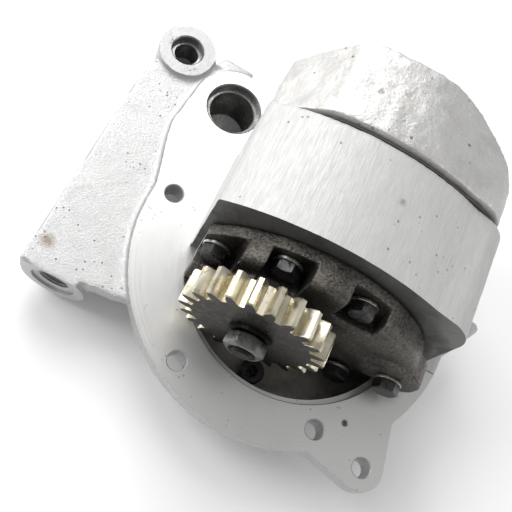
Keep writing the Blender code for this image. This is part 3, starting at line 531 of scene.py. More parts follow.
def settled(piece):
    """The piece with its modifiers made part of a plain mesh."""
    bpy.context.view_layer.update()
    graph = bpy.context.evaluated_depsgraph_get()
    mesh = bpy.data.meshes.new_from_object(piece.evaluated_get(graph))
    piece.modifiers.clear()
    old = piece.data
    piece.data = mesh
    mesh.name = piece.name
    bpy.data.meshes.remove(old)
    return piece


def boolean(piece, tool, operation, solver="MANIFOLD"):
    """Joins, cuts or trims a piece by a tool, which is used up."""
    modifier = piece.modifiers.new(operation.title(), "BOOLEAN")
    modifier.operation = operation
    modifier.solver = solver
    modifier.object = tool
    settled(piece)
    bpy.data.objects.remove(tool)
    return piece


def machined(piece, *tools):
    """Cuts a piece by each tool in turn."""
    for tool in tools:
        boolean(piece, tool, "DIFFERENCE")
    return piece


def bevelled(piece, name, width, segments, angle):
    """Rounds every edge that is sharper than an angle in degrees."""
    rounding = piece.modifiers.new(name, "BEVEL")
    rounding.width = width * MM
    rounding.segments = segments
    rounding.limit_method = "ANGLE"
    rounding.angle_limit = math.radians(angle)
    return settled(piece)


def sand_cast(piece, voxel, rounds):
    """Fuses overlapping shapes into one skin with the soft edges and fillets of a casting."""
    fuse = piece.modifiers.new("Skin", "REMESH")
    fuse.mode = "VOXEL"
    fuse.voxel_size = voxel * MM
    soften = piece.modifiers.new("Soften", "SMOOTH")
    soften.factor = SOFTENING
    soften.iterations = rounds
    return settled(piece)


def roughened(piece, waves):
    """Pushes the skin in and out by layers of noise, each (height in mm, size in mm)."""
    mesh = piece.data
    moves = []
    for vertex in mesh.vertices:
        place = vertex.co / MM
        push = sum(height * noise.noise(place / size) for height, size in waves)
        moves.append(vertex.co + vertex.normal * push * MM)
    for vertex, place in zip(mesh.vertices, moves):
        vertex.co = place
    mesh.update()
    return piece


def smooth(piece, sharp=CAST_SHARP):
    """Shades a piece smooth, apart from edges sharper than an angle."""
    piece.data.shade_smooth()
    piece.data.set_sharp_from_angle(angle=math.radians(sharp))
    return piece


def finish_piece(piece, body, nodes, slot_name, *materials):
    """Dresses a piece, sets it on its body and lets it stand for CAD nodes."""
    if materials:
        piece.data.materials.clear()
        for made in materials:
            piece.data.materials.append(made)
    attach(piece, body)
    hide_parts(*nodes)


def zoned(piece, rule):
    """Gives each face the material whose number the rule tells from its place and normal."""
    for polygon in piece.data.polygons:
        polygon.material_index = rule(from_face(polygon.center), polygon.normal)


# Materials


def fill(tree, socket, value):
    """Wires a node's input to an output, or sets its value."""
    if isinstance(value, bpy.types.NodeSocket):
        tree.links.new(value, socket)
    else:
        socket.default_value = value


def new_node(tree, kind, **settings):
    """A node with its inputs wired or set by name, and its other settings set."""
    made = tree.nodes.new(kind)
    for name, value in settings.items():
        if name in made.inputs:
            fill(tree, made.inputs[name], value)
        else:
            setattr(made, name, value)
    return made


def shader_group(name, outputs, **inputs):
    """A new node group with a place, these inputs and outputs of one number each."""
    tree = bpy.data.node_groups.new(name, "ShaderNodeTree")
    tree.interface.new_socket("Vector", in_out="INPUT", socket_type="NodeSocketVector")
    for socket, default in inputs.items():
        kind = "NodeSocketVector" if isinstance(default, tuple) else "NodeSocketFloat"
        tree.interface.new_socket(socket, in_out="INPUT", socket_type=kind).default_value = default
    for socket in outputs:
        tree.interface.new_socket(socket, in_out="OUTPUT", socket_type="NodeSocketFloat")
    return tree, tree.nodes.new("NodeGroupInput").outputs


def operation_node(tree, kind, operation, *values):
    """The outputs of a node that works on these values in order."""
    made = new_node(tree, kind, operation=operation)
    for socket, value in zip(made.inputs, values):
        fill(tree, socket, value)
    return made.outputs


def math_node(tree, operation, first, second):
    """One step of arithmetic on two numbers."""
    return operation_node(tree, "ShaderNodeMath", operation, first, second)[0]


def vector_node(tree, operation, *values):
    """The outputs of one step of arithmetic on vectors."""
    return operation_node(tree, "ShaderNodeVectorMath", operation, *values)


def noise_node(tree, **settings):
    """A noise from 0 to 1."""
    return new_node(tree, "ShaderNodeTexNoise", **settings).outputs["Fac"]


def ramp_node(tree, value, low, high, low_out=0.0, high_out=1.0):
    """A value carried softly from one range to another."""
    made = new_node(tree, "ShaderNodeMapRange", interpolation_type="SMOOTHSTEP", Value=value)
    for name, number in (("From Min", low), ("From Max", high), ("To Min", low_out), ("To Max", high_out)):
        made.inputs[name].default_value = number
    return made.outputs["Result"]


def mix_colour(tree, mask, first, second):
    """The second colour over the first where the mask is 1."""
    made = new_node(tree, "ShaderNodeMix", data_type="RGBA", Factor=mask)
    fill(tree, made.inputs[6], first)
    fill(tree, made.inputs[7], second)
    return made.outputs[2]


def cast_grain_group():
    """Fine sand-cast grain with scattered pits."""
    tree, given = shader_group("Cast grain", ("Height", "Speckle", "Pit"), Grain=900.0, Pits=260.0)
    place, pits = given["Vector"], given["Pits"]
    grain = noise_node(tree, Vector=place, Scale=given["Grain"], Detail=5.0, Roughness=0.62)
    cells = new_node(tree, "ShaderNodeTexVoronoi", Vector=place, Scale=pits, Randomness=1.0)
    choice = noise_node(tree, Vector=place, Scale=math_node(tree, "MULTIPLY", pits, 0.35), Detail=2.0)
    hole = ramp_node(tree, cells.outputs["Distance"], 0.1, 0.22, 1.0, 0.0)
    pit = math_node(tree, "MULTIPLY", hole, ramp_node(tree, choice, 0.55, 0.62))
    height = math_node(tree, "SUBTRACT", grain, math_node(tree, "MULTIPLY", pit, 0.8))
    new_node(tree, "NodeGroupOutput", Height=height, Speckle=ramp_node(tree, grain, 0.35, 0.7), Pit=pit)
    return tree


def brushed_group():
    """Fine lines left by linishing: noise drawn out along one direction."""
    tree, given = shader_group("Brushed lines", ("Height", "Streak"), Stretch=(1500.0, 60.0, 1500.0))
    drawn = vector_node(tree, "MULTIPLY", given["Vector"], given["Stretch"])[0]
    lines = noise_node(tree, Vector=drawn, Scale=1.0, Detail=4.0, Roughness=0.6)
    new_node(tree, "NodeGroupOutput", Height=lines, Streak=ramp_node(tree, lines, 0.3, 0.72))
    return tree


def turned_rings_group():
    """Arcs that a facing tool leaves round a centre, in plan."""
    tree, given = shader_group("Turned rings", ("Height", "Arc"), Centre=(0.0, 0.0, 0.0), Pitch=0.0009)
    offset = vector_node(tree, "SUBTRACT", given["Vector"], given["Centre"])[0]
    flat = vector_node(tree, "MULTIPLY", offset, (1.0, 1.0, 0.0))[0]
    reach = vector_node(tree, "LENGTH", flat)["Value"]
    along = new_node(tree, "ShaderNodeCombineXYZ", X=math_node(tree, "DIVIDE", reach, given["Pitch"]))
    cuts = noise_node(tree, Vector=along.outputs[0], Scale=1.0, Detail=3.0, Roughness=0.7)
    new_node(tree, "NodeGroupOutput", Height=cuts, Arc=ramp_node(tree, cuts, 0.38, 0.68))
    return tree


def stain_group():
    """One blotch round a point, with a ragged edge."""
    tree, given = shader_group("Stain", ("Mask",), Centre=(0.0, 0.0, 0.0), Radius=0.005)
    apart = vector_node(tree, "DISTANCE", given["Vector"], given["Centre"])["Value"]
    ragged = noise_node(tree, Vector=given["Vector"], Scale=420.0, Detail=4.0)
    share = math_node(tree, "DIVIDE", apart, given["Radius"])
    edge = math_node(tree, "ADD", share, math_node(tree, "MULTIPLY", ragged, 0.9))
    new_node(tree, "NodeGroupOutput", Mask=ramp_node(tree, edge, 0.55, 1.4, 1.0, 0.0))
    return tree


def grime_group():
    """Slow patches of oil and handling dirt."""
    tree, given = shader_group("Grime", ("Mask",), Size=40.0)
    patch = noise_node(
        tree, Vector=given["Vector"], Scale=given["Size"], Detail=6.0, Roughness=0.6, Distortion=0.4
    )
    new_node(tree, "NodeGroupOutput", Mask=ramp_node(tree, patch, 0.42, 0.68))
    return tree


GROUP_MAKERS = {
    "Cast grain": cast_grain_group,
    "Brushed lines": brushed_group,
    "Turned rings": turned_rings_group,
    "Stain": stain_group,
    "Grime": grime_group,
}


def scaled(colour, share):
    """A colour made darker or lighter."""
    return tuple(part * share for part in colour)


class Finish:
    """One material with its coordinates, its shader and short ways to build its layers."""

    def __init__(self, name, metallic):
        self.material = bpy.data.materials.new(name)
        self.material.use_nodes = True
        self.tree = self.material.node_tree
        self.shader = self.tree.nodes["Principled BSDF"]
        self.shader.inputs["Metallic"].default_value = metallic
        self.place = new_node(self.tree, "ShaderNodeTexCoord").outputs["Object"]

    def effect(self, group, **values):
        """The outputs of a shader group with these values."""
        tree = bpy.data.node_groups.get(group) or GROUP_MAKERS[group]()
        made = new_node(self.tree, "ShaderNodeGroup", node_tree=tree)
        for name, value in {"Vector": self.place, **values}.items():
            fill(self.tree, made.inputs[name], value)
        return made.outputs

    def colour(self, base, *layers):
        """The base colour under layers of (mask, amount, tint). A tint that is a number scales the base."""
        shown = (*base, 1.0)
        for mask, amount, tint in layers:
            paint = scaled(base, tint) if isinstance(tint, float) else tint
            cover = math_node(self.tree, "MULTIPLY", mask, amount)
            shown = mix_colour(self.tree, cover, shown, (*paint, 1.0))
        fill(self.tree, self.shader.inputs["Base Color"], shown)

    def gloss(self, mask, low, high):
        """Roughness that goes from low to high as the mask goes from 0 to 1."""
        fill(self.tree, self.shader.inputs["Roughness"], ramp_node(self.tree, mask, 0.0, 1.0, low, high))

    def relief(self, *heights):
        """Bumps from (height, depth in mm) layers, one on another."""
        under = {}
        for height, depth in heights:
            bump = new_node(
                self.tree, "ShaderNodeBump", Strength=1.0, Distance=depth * MM, Height=height, **under
            )
            under = {"Normal": bump.outputs["Normal"]}
        fill(self.tree, self.shader.inputs["Normal"], under["Normal"])


def cast_aluminium(colours, name="cast aluminium", share=1.0):
    """Sand-cast skin of the body, with a brown stain on the arm."""
    finish = Finish(name, 0.75)
    grain = finish.effect("Cast grain", Grain=1100.0, Pits=300.0)
    grime = finish.effect("Grime", Size=55.0)["Mask"]
    stain = finish.effect("Stain", Centre=at(*ARM_STAIN), Radius=0.007)["Mask"]
    finish.colour(
        scaled(colours.aluminium, share),
        (grain["Speckle"], 0.5, 0.72),
        (grime, 0.3, 0.8),
        (grain["Pit"], 1.0, 0.35),
        (stain, 0.75, colours.stain),
    )
    finish.gloss(grain["Speckle"], 0.42, 0.6)
    finish.relief((grain["Height"], 0.35))
    return finish.material


def planed_aluminium(colours):
    """Flange face with the arcs of the facing tool."""
    finish = Finish("planed aluminium", 0.8)
    rings = finish.effect("Turned rings", Pitch=0.0011)
    grime = finish.effect("Grime", Size=30.0)["Mask"]
    grain = finish.effect("Cast grain", Grain=2200.0, Pits=240.0)
    finish.colour(colours.planed, (rings["Arc"], 0.3, 0.82), (grime, 0.25, 0.86), (grain["Pit"], 0.6, 0.4))
    finish.gloss(rings["Arc"], 0.3, 0.42)
    finish.relief((rings["Height"], 0.05), (grain["Height"], 0.02))
    return finish.material


def brushed_aluminium(colours):
    """Linished barrel with fine lines along it and one small stain."""
    finish = Finish("brushed aluminium", 0.3)
    lines = finish.effect("Brushed lines", Stretch=(1700.0, 90.0, 1700.0))
    wide = finish.effect("Brushed lines", Stretch=(260.0, 24.0, 260.0))
    grime = finish.effect("Grime", Size=70.0)["Mask"]
    grain = finish.effect("Cast grain", Grain=1800.0, Pits=210.0)
    stain = finish.effect("Stain", Centre=at(*BARREL_STAIN), Radius=0.0035)["Mask"]
    finish.colour(
        scaled(colours.planed, 0.78),
        (lines["Streak"], 0.55, 0.7),
        (wide["Streak"], 0.35, 0.8),
        (grime, 0.18, 0.82),
        (grain["Pit"], 0.75, 0.25),
        (stain, 0.6, colours.stain),
    )
    finish.gloss(lines["Streak"], 0.5, 0.62)
    finish.relief((lines["Height"], 0.14), (grain["Height"], 0.03))
    return finish.material


def shaded_lip_band(colours):
    """Grey front face of the barrel, darker as painted shade because it looks away from the lamps, with
    patches of oil.
    """
    finish = Finish("grey lip band", 0.7)
    lines = finish.effect("Brushed lines", Stretch=(60.0, 900.0, 900.0))
    grime = finish.effect("Grime", Size=60.0)["Mask"]
    finish.colour(colours.lip, (lines["Streak"], 0.3, 0.75), (grime, 0.5, colours.oil))
    finish.gloss(grime, 0.35, 0.52)
    finish.relief((lines["Height"], 0.03))
    return finish.material


def oily_pocket(colours):
    """Wet wall and floor of the gear pocket."""
    finish = Finish("oily pocket", 0.65)
    grain = finish.effect("Cast grain", Grain=1300.0, Pits=320.0)
    rings = finish.effect("Turned rings", Centre=at(POCKET_X, 0, 0), Pitch=0.0016)
    grime = finish.effect("Grime", Size=45.0)["Mask"]
    finish.colour(
        colours.pocket, (grain["Speckle"], 0.55, 0.55), (rings["Arc"], 0.3, 1.35), (grime, 0.5, colours.oil)
    )
    finish.gloss(grime, 0.5, 0.28)
    finish.relief((grain["Height"], 0.2), (rings["Height"], 0.06))
    return finish.material


def shaded_bore_aluminium(colours):
    """Inside of the ports: the planed colour darkened to 0.36 as painted shade, with patches of oil."""
    finish = Finish("bored aluminium", 0.85)
    grain = finish.effect("Cast grain", Grain=900.0, Pits=200.0)
    grime = finish.effect("Grime", Size=90.0)["Mask"]
    finish.colour(scaled(colours.planed, 0.36), (grime, 0.6, 0.55), (grain["Speckle"], 0.3, 0.6))
    finish.gloss(grime, 0.24, 0.4)
    finish.relief((grain["Height"], 0.06))
    return finish.material


def rough_aluminium(colours):
    """Dented and scratched skin of the rear cover."""
    finish = Finish("rough aluminium", 0.7)
    grain = finish.effect("Cast grain", Grain=700.0, Pits=170.0)
    scratch = finish.effect("Brushed lines", Stretch=(90.0, 1300.0, 400.0))
    grime = finish.effect("Grime", Size=48.0)["Mask"]
    dents = finish.effect("Cast grain", Grain=120.0, Pits=60.0)
    finish.colour(
        colours.rough,
        (grain["Speckle"], 0.35, 0.68),
        (scratch["Streak"], 0.25, 1.25),
        (grime, 0.45, 0.7),
        (dents["Pit"], 0.7, 0.3),
        (grain["Pit"], 1.0, 0.35),
    )
    finish.gloss(grain["Speckle"], 0.4, 0.58)
    finish.relief((dents["Height"], 0.5), (grain["Height"], 0.25), (scratch["Height"], 0.08))
    return finish.material


def cast_iron(colours, name="oiled cast iron", share=1.0):
    """Dark, coarse iron with oil and a little rust."""
    finish = Finish(name, 0.7)
    grain = finish.effect("Cast grain", Grain=620.0, Pits=380.0)
    grime = finish.effect("Grime", Size=38.0)["Mask"]
    rust = finish.effect("Grime", Size=85.0)["Mask"]
    finish.colour(
        scaled(colours.iron, share),
        (grain["Speckle"], 0.8, 3.4),
        (rust, 0.14, colours.rust),
        (grime, 0.55, colours.oil),
        (grain["Pit"], 1.0, 0.3),
    )
    finish.gloss(grime, 0.46, 0.24)
    finish.relief((grain["Height"], 0.75))
    return finish.material


def gear_steel(name, base, oil, bright, wear):
    """Oiled gear steel with a share of wear, and with lines that are so many times as bright."""
    finish = Finish(name, 0.9)
    lines = finish.effect("Brushed lines", Stretch=(700.0, 260.0, 700.0))
    grime = finish.effect("Grime", Size=120.0)["Mask"]
    grain = finish.effect("Cast grain", Grain=1500.0, Pits=420.0)
    finish.colour(
        base,
        (lines["Streak"], 0.35 * wear, bright),
        (grime, 0.4 * wear, oil),
        (grain["Pit"], 0.6 * wear, 0.3),
    )
    finish.gloss(grime, 0.36, 0.2)
    finish.relief((lines["Height"], 0.05), (grain["Height"], 0.04))
    return finish.material


def steel(name, base, dark, roughness, stretch, depth=0.03):
    """Turned, ground or blacked steel with fine tool lines and patches of oil."""
    finish = Finish(name, 0.9)
    lines = finish.effect("Brushed lines", Stretch=stretch)
    grime = finish.effect("Grime", Size=160.0)["Mask"]
    finish.colour(base, (lines["Streak"], 0.4, 0.7), (grime, 0.45, dark))
    finish.gloss(grime, roughness + 0.06, max(roughness - 0.1, 0.12))
    finish.relief((lines["Height"], depth))
    return finish.material


def even(fineness):
    """Tool lines that are as fine along X, Y and Z."""
    return (fineness, fineness, fineness)


def blacked_steel(name, base, oil, roughness, fineness):
    """Blacked or grey steel of a fastener, with a deeper grain."""
    return steel(name, base, oil, roughness, even(fineness), 0.05)


def soft_stuff(name, base, grain_size, roughness):
    """Rubber or gasket sheet: no metal, with a fine grain."""
    finish = Finish(name, 0.0)
    grain = finish.effect("Cast grain", Grain=grain_size, Pits=400.0)
    finish.colour(base, (grain["Speckle"], 0.5, 1.8))
    finish.gloss(grain["Speckle"], roughness - 0.08, roughness + 0.08)
    finish.relief((grain["Height"], 0.08))
    return finish.material


# Castings


def arch_height(x, radius):
    """The height at x of an arch about the barrel's axis."""
    return ARCH_AXIS[1] + math.sqrt(radius**2 - (x - ARCH_AXIS[0]) ** 2)


def angle_at(x, centre_x, radius):
    """The angle in degrees of the upper point of a circle that lies at x."""
    return math.degrees(math.acos((x - centre_x) / radius))


def arch_outline(left, right, radius, low, chamfer=None):
    """The barrel's section across the shaft, with a round right shoulder and perhaps a sloped left corner."""
    shoulder_x = right - BARREL_SHOULDER
    shoulder = (shoulder_x, arch_height(shoulder_x, radius) - BARREL_SHOULDER)
    left_angle = angle_at(left if chamfer is None else chamfer[0], ARCH_AXIS[0], radius)
    right_angle = angle_at(shoulder_x, ARCH_AXIS[0], radius)
    points = [(left, low), (right, low)]
    points += arc(shoulder, BARREL_SHOULDER, 0.0, right_angle, SHOULDER_STEPS)
    points += arc(ARCH_AXIS, radius, right_angle, left_angle, ARCH_STEPS)[1:]
    return points if chamfer is None else points + [(left, chamfer[1])]


def rounded_in_plan(piece, radius):
    """Trims a piece to a circle seen from above."""
    low, high = PLAN_HEIGHTS
    return boolean(piece, shape("plan", add_cylinder, (0, 0, low), (0, 0, high), radius), "INTERSECT")


def arm_points():
    """The arm's outline from above, out to its two bosses and the suction port."""
    boss_left = TOP_BOSS[0] - TOP_BOSS_RADIUS * ARM_BOSS_LEFT_SHARE
    foot_x, foot_y = ARM_FOOT_STEP
    return [
        (ARM_LEFT, ARM_FRONT),
        (ARM_FOOT_RIGHT, ARM_FRONT + ARM_FOOT_RISE),
        (ARM_FOOT_RIGHT + foot_x, ARM_FRONT + foot_y),
        SUCTION_PORT,
        *arc(ROUGH_CORNER, ROUGH_CORNER_RADIUS, *ROUGH_CORNER_SWEEP, CORNER_STEPS),
        (TOP_BOSS[0] + TOP_BOSS_RADIUS * ARM_BOSS_RIGHT_SHARE, ARM_WEB_TOP),
        TOP_BOSS,
        (boss_left, ARM_WEB_TOP),
        (boss_left - ARM_WAIST_INSET, ARM_WAIST),
    ]


def casting_blank():
    """The body as it leaves the mould, a little proud where it is planed."""
    work = bmesh.new()
    under = -FLANGE_THICKNESS
    add_cylinder(work, (0, 0, under), (0, 0, PLANING), FLANGE_RADIUS)
    ear_root = (EAR_HOLE[0] * EAR_ROOT_SHARE, EAR_HOLE[1] * EAR_ROOT_SHARE)
    ear = tangent_hull(ear_root, EAR_ROOT_RADIUS, EAR_HOLE, EAR_RADIUS, EAR_STEPS)
    add_plan_prism(work, ear, under, PLANING)
    lug = tangent_hull(LUG_ROOT, LUG_ROOT_RADIUS, LUG_CORNER, LUG_RADIUS, LUG_STEPS)
    add_plan_prism(work, lug, under, under + LUG_THICKNESS)
    add_cylinder(work, (*SUCTION_PORT, under), (*SUCTION_PORT, PLANING), SUCTION_LAND_RADIUS)
    add_plan_prism(work, LAND_WEB, under, PLANING)
    add_plan_prism(work, FIN, -ARM_DROP - ARM_THICKNESS, -FIN_DROP)
    add_cylinder(work, (0, 0, -FACE_Z), (0, 0, under + LAP), DISH_FOOT_RADIUS, DISH_RADIUS)
    boss_foot = -SUCTION_BORE[1] - SUCTION_BOSS_FLOOR
    add_cylinder(work, (*SUCTION_PORT, boss_foot), (*SUCTION_PORT, -LAP), SUCTION_BOSS_RADIUS)
    add_plan_prism(work, arm_points(), -ARM_DROP - ARM_THICKNESS, -ARM_DROP)
    add_cylinder(work, (*TOP_BOSS, -TOP_BOSS_DEPTH), (*TOP_BOSS, PLANING), TOP_BOSS_RADIUS)
    flat = math.degrees(math.asin((OUTLET_DROP - ARM_DROP) / OUTLET_RADIUS))
    outlet = arc((OUTLET_X, -OUTLET_DROP), OUTLET_RADIUS, flat, -180.0 - flat, ROUND_STEPS)
    add_front_prism(work, outlet, ARM_FRONT - PLANING, ARM_FRONT + OUTLET_LENGTH)
    section = arch_outline(BARREL_LEFT, BARREL_RIGHT, ARCH_RADIUS, under / 2)
    barrel = shape("barrel", add_front_prism, section, BARREL_FRONT - LIP_EXCESS, BARREL_BACK)
    rounded_in_plan(barrel, BARREL_PLAN_RADIUS)
    work.from_mesh(barrel.data)
    bpy.data.objects.remove(barrel)
    return made_object("pump_casting", work)


def planing_tool():
    """What the mill takes off the flange face, leaving a fillet round the barrel's foot."""
    return boolean(shape("mill", add_box, *MILL_CUT), shape("keep", add_box, *MILL_KEEP), "DIFFERENCE")


def port_tool(place, bore, counterbore):
    """A bore with its counterbore and chamfer, along Z."""
    radius, depth = bore
    rim, rim_depth = counterbore
    mouth = rim + PORT_CHAMFER + RUN_OUT
    profile = [
        (0, -depth - radius * DRILL_POINT),
        (radius, -depth),
        (radius, -rim_depth - COUNTERBORE_EASE),
        (radius + COUNTERBORE_EASE, -rim_depth),
        (rim, -rim_depth),
        (rim, -PORT_CHAMFER),
        (mouth, RUN_OUT),
        (mouth, PORT_TOOL_TOP),
        (0, PORT_TOOL_TOP),
    ]
    return turned_form("port", profile, BORE_STEPS, upright(*place, LOOKS_UP))


def hole_tool(x, y, radius, depth):
    """A drilled hole with its chamfer, down from the flange face."""
    tool = shape("hole", add_cylinder, (x, y, -depth), (x, y, OVERRUN), radius, steps=BOLT_STEPS)
    wide = radius + HOLE_CHAMFER + RUN_OUT
    low, high = (x, y, -HOLE_CHAMFER), (x, y, RUN_OUT)
    return boolean(tool, shape("rim", add_cylinder, low, high, radius, wide, steps=BOLT_STEPS), "UNION")


def thread(start, end, root, crest):
    """A profile of (radius, y) for the grooves of a thread between two places along Y."""
    points = []
    for turn in range(int((end - start) / THREAD_PITCH)):
        y = start + turn * THREAD_PITCH
        points += [(root, y), (crest, y + THREAD_PITCH / 2)]
    return points


def outlet_tool():
    """The outlet's threaded bore with its spotface, along Y."""
    mouth = ARM_FRONT + OUTLET_SPOTFACE_DEPTH
    crest = OUTLET_BORE_RADIUS + THREAD_DEPTH
    start = mouth + OUTLET_THREAD_LEAD
    grooves = thread(start, start + OUTLET_THREAD_LENGTH, OUTLET_BORE_RADIUS, crest)
    end = ARM_FRONT + OUTLET_BORE_DEPTH
    profile = [
        (0, ARM_FRONT - OUTLET_RUN_OUT),
        (OUTLET_SPOTFACE_RADIUS, ARM_FRONT - OUTLET_RUN_OUT),
        (OUTLET_SPOTFACE_RADIUS, mouth),
        (crest + THREAD_RELIEF, mouth),
        *grooves,
        (OUTLET_BORE_RADIUS, grooves[-2][1] + THREAD_PITCH),
        (OUTLET_BORE_RADIUS, end),
        (0, end + OUTLET_POINT),
    ]
    return shape("outlet", add_turned, profile, (OUTLET_X, -OUTLET_DROP), BORE_STEPS)


def pocket_tool():
    """The round pocket with its stepped rim, in front of the barrel, by its depth under the flange face."""
    mouth = POCKET_STEP_RADIUS + POCKET_RUN_OUT
    profile = [
        (0, POCKET_FLOOR),
        (POCKET_RADIUS - POCKET_CORNER, POCKET_FLOOR),
        (POCKET_RADIUS, POCKET_FLOOR - POCKET_CORNER),
        (POCKET_RADIUS, POCKET_STEP_DEPTH),
        (POCKET_STEP_RADIUS, POCKET_STEP_DEPTH),
        (POCKET_STEP_RADIUS, POCKET_CHAMFER),
        (mouth, POCKET_CHAMFER - POCKET_RUN_OUT),
        (mouth, -POCKET_TOOL_TOP),
        (0, -POCKET_TOOL_TOP),
    ]
    tool = turned_form("pocket", profile, FINE_STEPS, upright(POCKET_X, 0, LOOKS_DOWN))
    return boolean(tool, shape("half", add_box, *POCKET_SIDE), "INTERSECT")


def across(x, z, front, back, radius, steps=BORE_STEPS):
    """A round cutting tool along Y."""
    return shape("bore", add_cylinder, (x, front, z), (x, back, z), radius, steps=steps)


def shaft_bore(front, back, radius):
    """A round cutting tool along the shaft."""
    return across(SHAFT_X, SHAFT_Z, front, back, radius)


def middle_of(name):
    """A node's middle across the shaft, from its CAD box."""
    low, high = node_box(name)
    return (low.x + high.x) / 2, (low.z + high.z) / 2


COVER_BOLTS = [f"cover_bolt_{letter}" for letter in "abcde"]
COVER_WASHERS = [f"cover_washer_{letter}" for letter in "abcde"]
REAR_BOLTS = [f"rear_cover_bolt_{number}" for number in range(1, 5)]
SPRINGS = [name for name in frame["nodes"] if name.startswith("piston_spring_")]

# The body's finishes, in the order of its material slots
CAST, PLANED, BRUSHED, SHADED_LIP, POCKET, SHADED_BORE, BOSS = range(7)


def casting_zone(centre, normal):
    """Which finish a face of the body takes, from its place and the way that it faces."""
    x, y, z = centre
    reach = math.hypot(x - POCKET_X, y)
    outward = (x - POCKET_X) * normal.x + y * normal.y
    faces_in = outward < POCKET_OUTWARD * reach and normal.z > POCKET_UPWARD
    in_plan = y < BARREL_FRONT - SEAM and reach < POCKET_STEP_RADIUS + CHAMFER_REACH
    if in_plan and z < -FACE_MARGIN and faces_in:
        on_step = normal.z > FACING and z > -POCKET_STEP_DEPTH - STEP_DROP
        return PLANED if on_step else POCKET
    for port, radius in ((SUCTION_PORT, SUCTION_COUNTERBORE[0]), (TOP_BOSS, TOP_COUNTERBORE[0])):
        off_edge = math.hypot(x - port[0], y - port[1]) - radius
        if off_edge < PORT_SKIN and z < -SEAM:
            # Faces inside the ports take the bore finish, a copy of the planed aluminium darkened as painted
            # shade.
            return SHADED_BORE if off_edge < CHAMFER_REACH else CAST
    if abs(z) < FACE_SEAM and normal.z > FACING_UP:
        on_boss = math.hypot(x - TOP_BOSS[0], y - TOP_BOSS[1]) < TOP_BOSS_RADIUS
        return BOSS if on_boss else PLANED
    if z > FACE_MARGIN:
        # The barrel's front face takes the lip band, painted darker as shade.
        return SHADED_LIP if normal.y < -FACING_FRONT and y < BARREL_FRONT + LAP else BRUSHED
    return CAST


class PUMP_OT_casting(Operator):
    """Makes the aluminium body: cast skin first, then the planed face, bores and bolt holes."""

    bl_idname = "pump.casting"
    bl_label = "Body casting"

    def execute(self, context):
        colours = context.scene.pump_colours
        piece = sand_cast(casting_blank(), CASTING_VOXEL, CASTING_ROUNDS)
        roughened(piece, CASTING_WAVES)
        boxes = [shape("box", add_box, *cut) for cut in (LIP_CUT, OUTLET_FACE_CUT, BASE_CUT)]
        machined(piece, planing_tool(), *boxes, pocket_tool(), outlet_tool())
        passage_radius, passage_depth = SUCTION_PASSAGE
        passage_ends = (*SUCTION_PORT, -passage_depth), (*SUCTION_PORT, 0)
        machined(
            piece,
            port_tool(SUCTION_PORT, SUCTION_BORE, SUCTION_COUNTERBORE),
            shape("passage", add_cylinder, *passage_ends, passage_radius),
            port_tool(TOP_BOSS, TOP_BORE, TOP_COUNTERBORE),
            hole_tool(*EAR_HOLE, HOLE_RADIUS, THROUGH),
            hole_tool(*SPOT_HOLE, SPOT_HOLE_RADIUS, SPOT_HOLE_DEPTH),
        )
        for angle in map(math.radians, HOLE_ANGLES):
            x, y = HOLE_CIRCLE * math.cos(angle), HOLE_CIRCLE * math.sin(angle)
            machined(piece, hole_tool(x, y, HOLE_RADIUS, THROUGH))
        machined(
            piece,
            shaft_bore(BULKHEAD_BACK, BARREL_BACK + OVERRUN, PUMP_BORE_RADIUS),
            shaft_bore(BARREL_FRONT - OVERRUN, BULKHEAD_BACK + OVERRUN, SHAFT_WAY_RADIUS),
        )
        finish_piece(
            smooth(piece),
            "housing",
            ["pump_body"],
            "cast_aluminium",
            cast_aluminium(colours),
            planed_aluminium(colours),
            brushed_aluminium(colours),
            shaded_lip_band(colours),
            oily_pocket(colours),
            shaded_bore_aluminium(colours),
            cast_aluminium(colours, "dull boss face", TOP_BOSS_SHADE),
        )
        zoned(piece, casting_zone)
        return {"FINISHED"}


def round_front_edge(work, front, low, width):
    """Rounds the front edge of a prism above a height."""
    bmesh.ops.recalc_face_normals(work, faces=work.faces)

    def on_edge(vert):
        place = from_face(vert.co)
        return abs(place.y - front) < PLANE_TOLERANCE and place.z > low

    edges = [edge for edge in work.edges if all(map(on_edge, edge.verts))]
    bmesh.ops.bevel(
        work,
        geom=edges,
        offset=width * MM,
        segments=COVER_ROUNDING_STEPS,
        profile=0.5,
        affect="EDGES",
        clamp_overlap=True,
    )


def cover_blank():
    """The iron cover's arched plate, foot, lobe and hub, one through another."""
    work = bmesh.new()
    sweep = [angle_at(x, COVER_AXIS[0], COVER_ARCH_RADIUS) for x in (COVER_RIGHT, COVER_LEFT)]
    plate = [(COVER_LEFT, COVER_LOW), (COVER_RIGHT, COVER_LOW)]
    plate += arc(COVER_AXIS, COVER_ARCH_RADIUS, *sweep, ROUND_STEPS)
    add_front_prism(work, plate, COVER_FRONT, COVER_BACK)
    round_front_edge(work, COVER_FRONT, COVER_LOW + LAP, COVER_ROUNDING)
    foot_left, foot_right = COVER_FOOT
    foot_low = (foot_left, COVER_FRONT + LAP, -COVER_FOOT_DROP)
    add_box(work, foot_low, (foot_right, COVER_BACK - COVER_FOOT_INSET, COVER_FOOT_TOP))
    lobe = arc(LOBE_CENTRE, LOBE_RADIUS, *LOBE_SWEEP, ROUND_STEPS)
    root = COVER_BACK - COVER_ROOT
    add_front_prism(work, lobe, LOBE_FRONT, root)
    hub_ends = (SHAFT_X, HUB_FRONT, SHAFT_Z), (SHAFT_X, root, SHAFT_Z)
    add_cylinder(work, *hub_ends, HUB_RADIUS - HUB_DRAFT, HUB_RADIUS)
    return made_object("iron_cover", work)


def in_notch(point, notches):
    """Whether a point of the cover's skin lies on the wall, seat or floor of a bolt notch."""
    if not COVER_FRONT + NOTCH_MOUTH < point.y < NOTCH_SEAT + NOTCH_SKIN:
        return False
    half = NOTCH_WIDTH / 2 + NOTCH_SKIN
    return any(abs(point.x - x) < half and point.z > z - NOTCH_FLOOR - NOTCH_SKIN for x, z in notches)


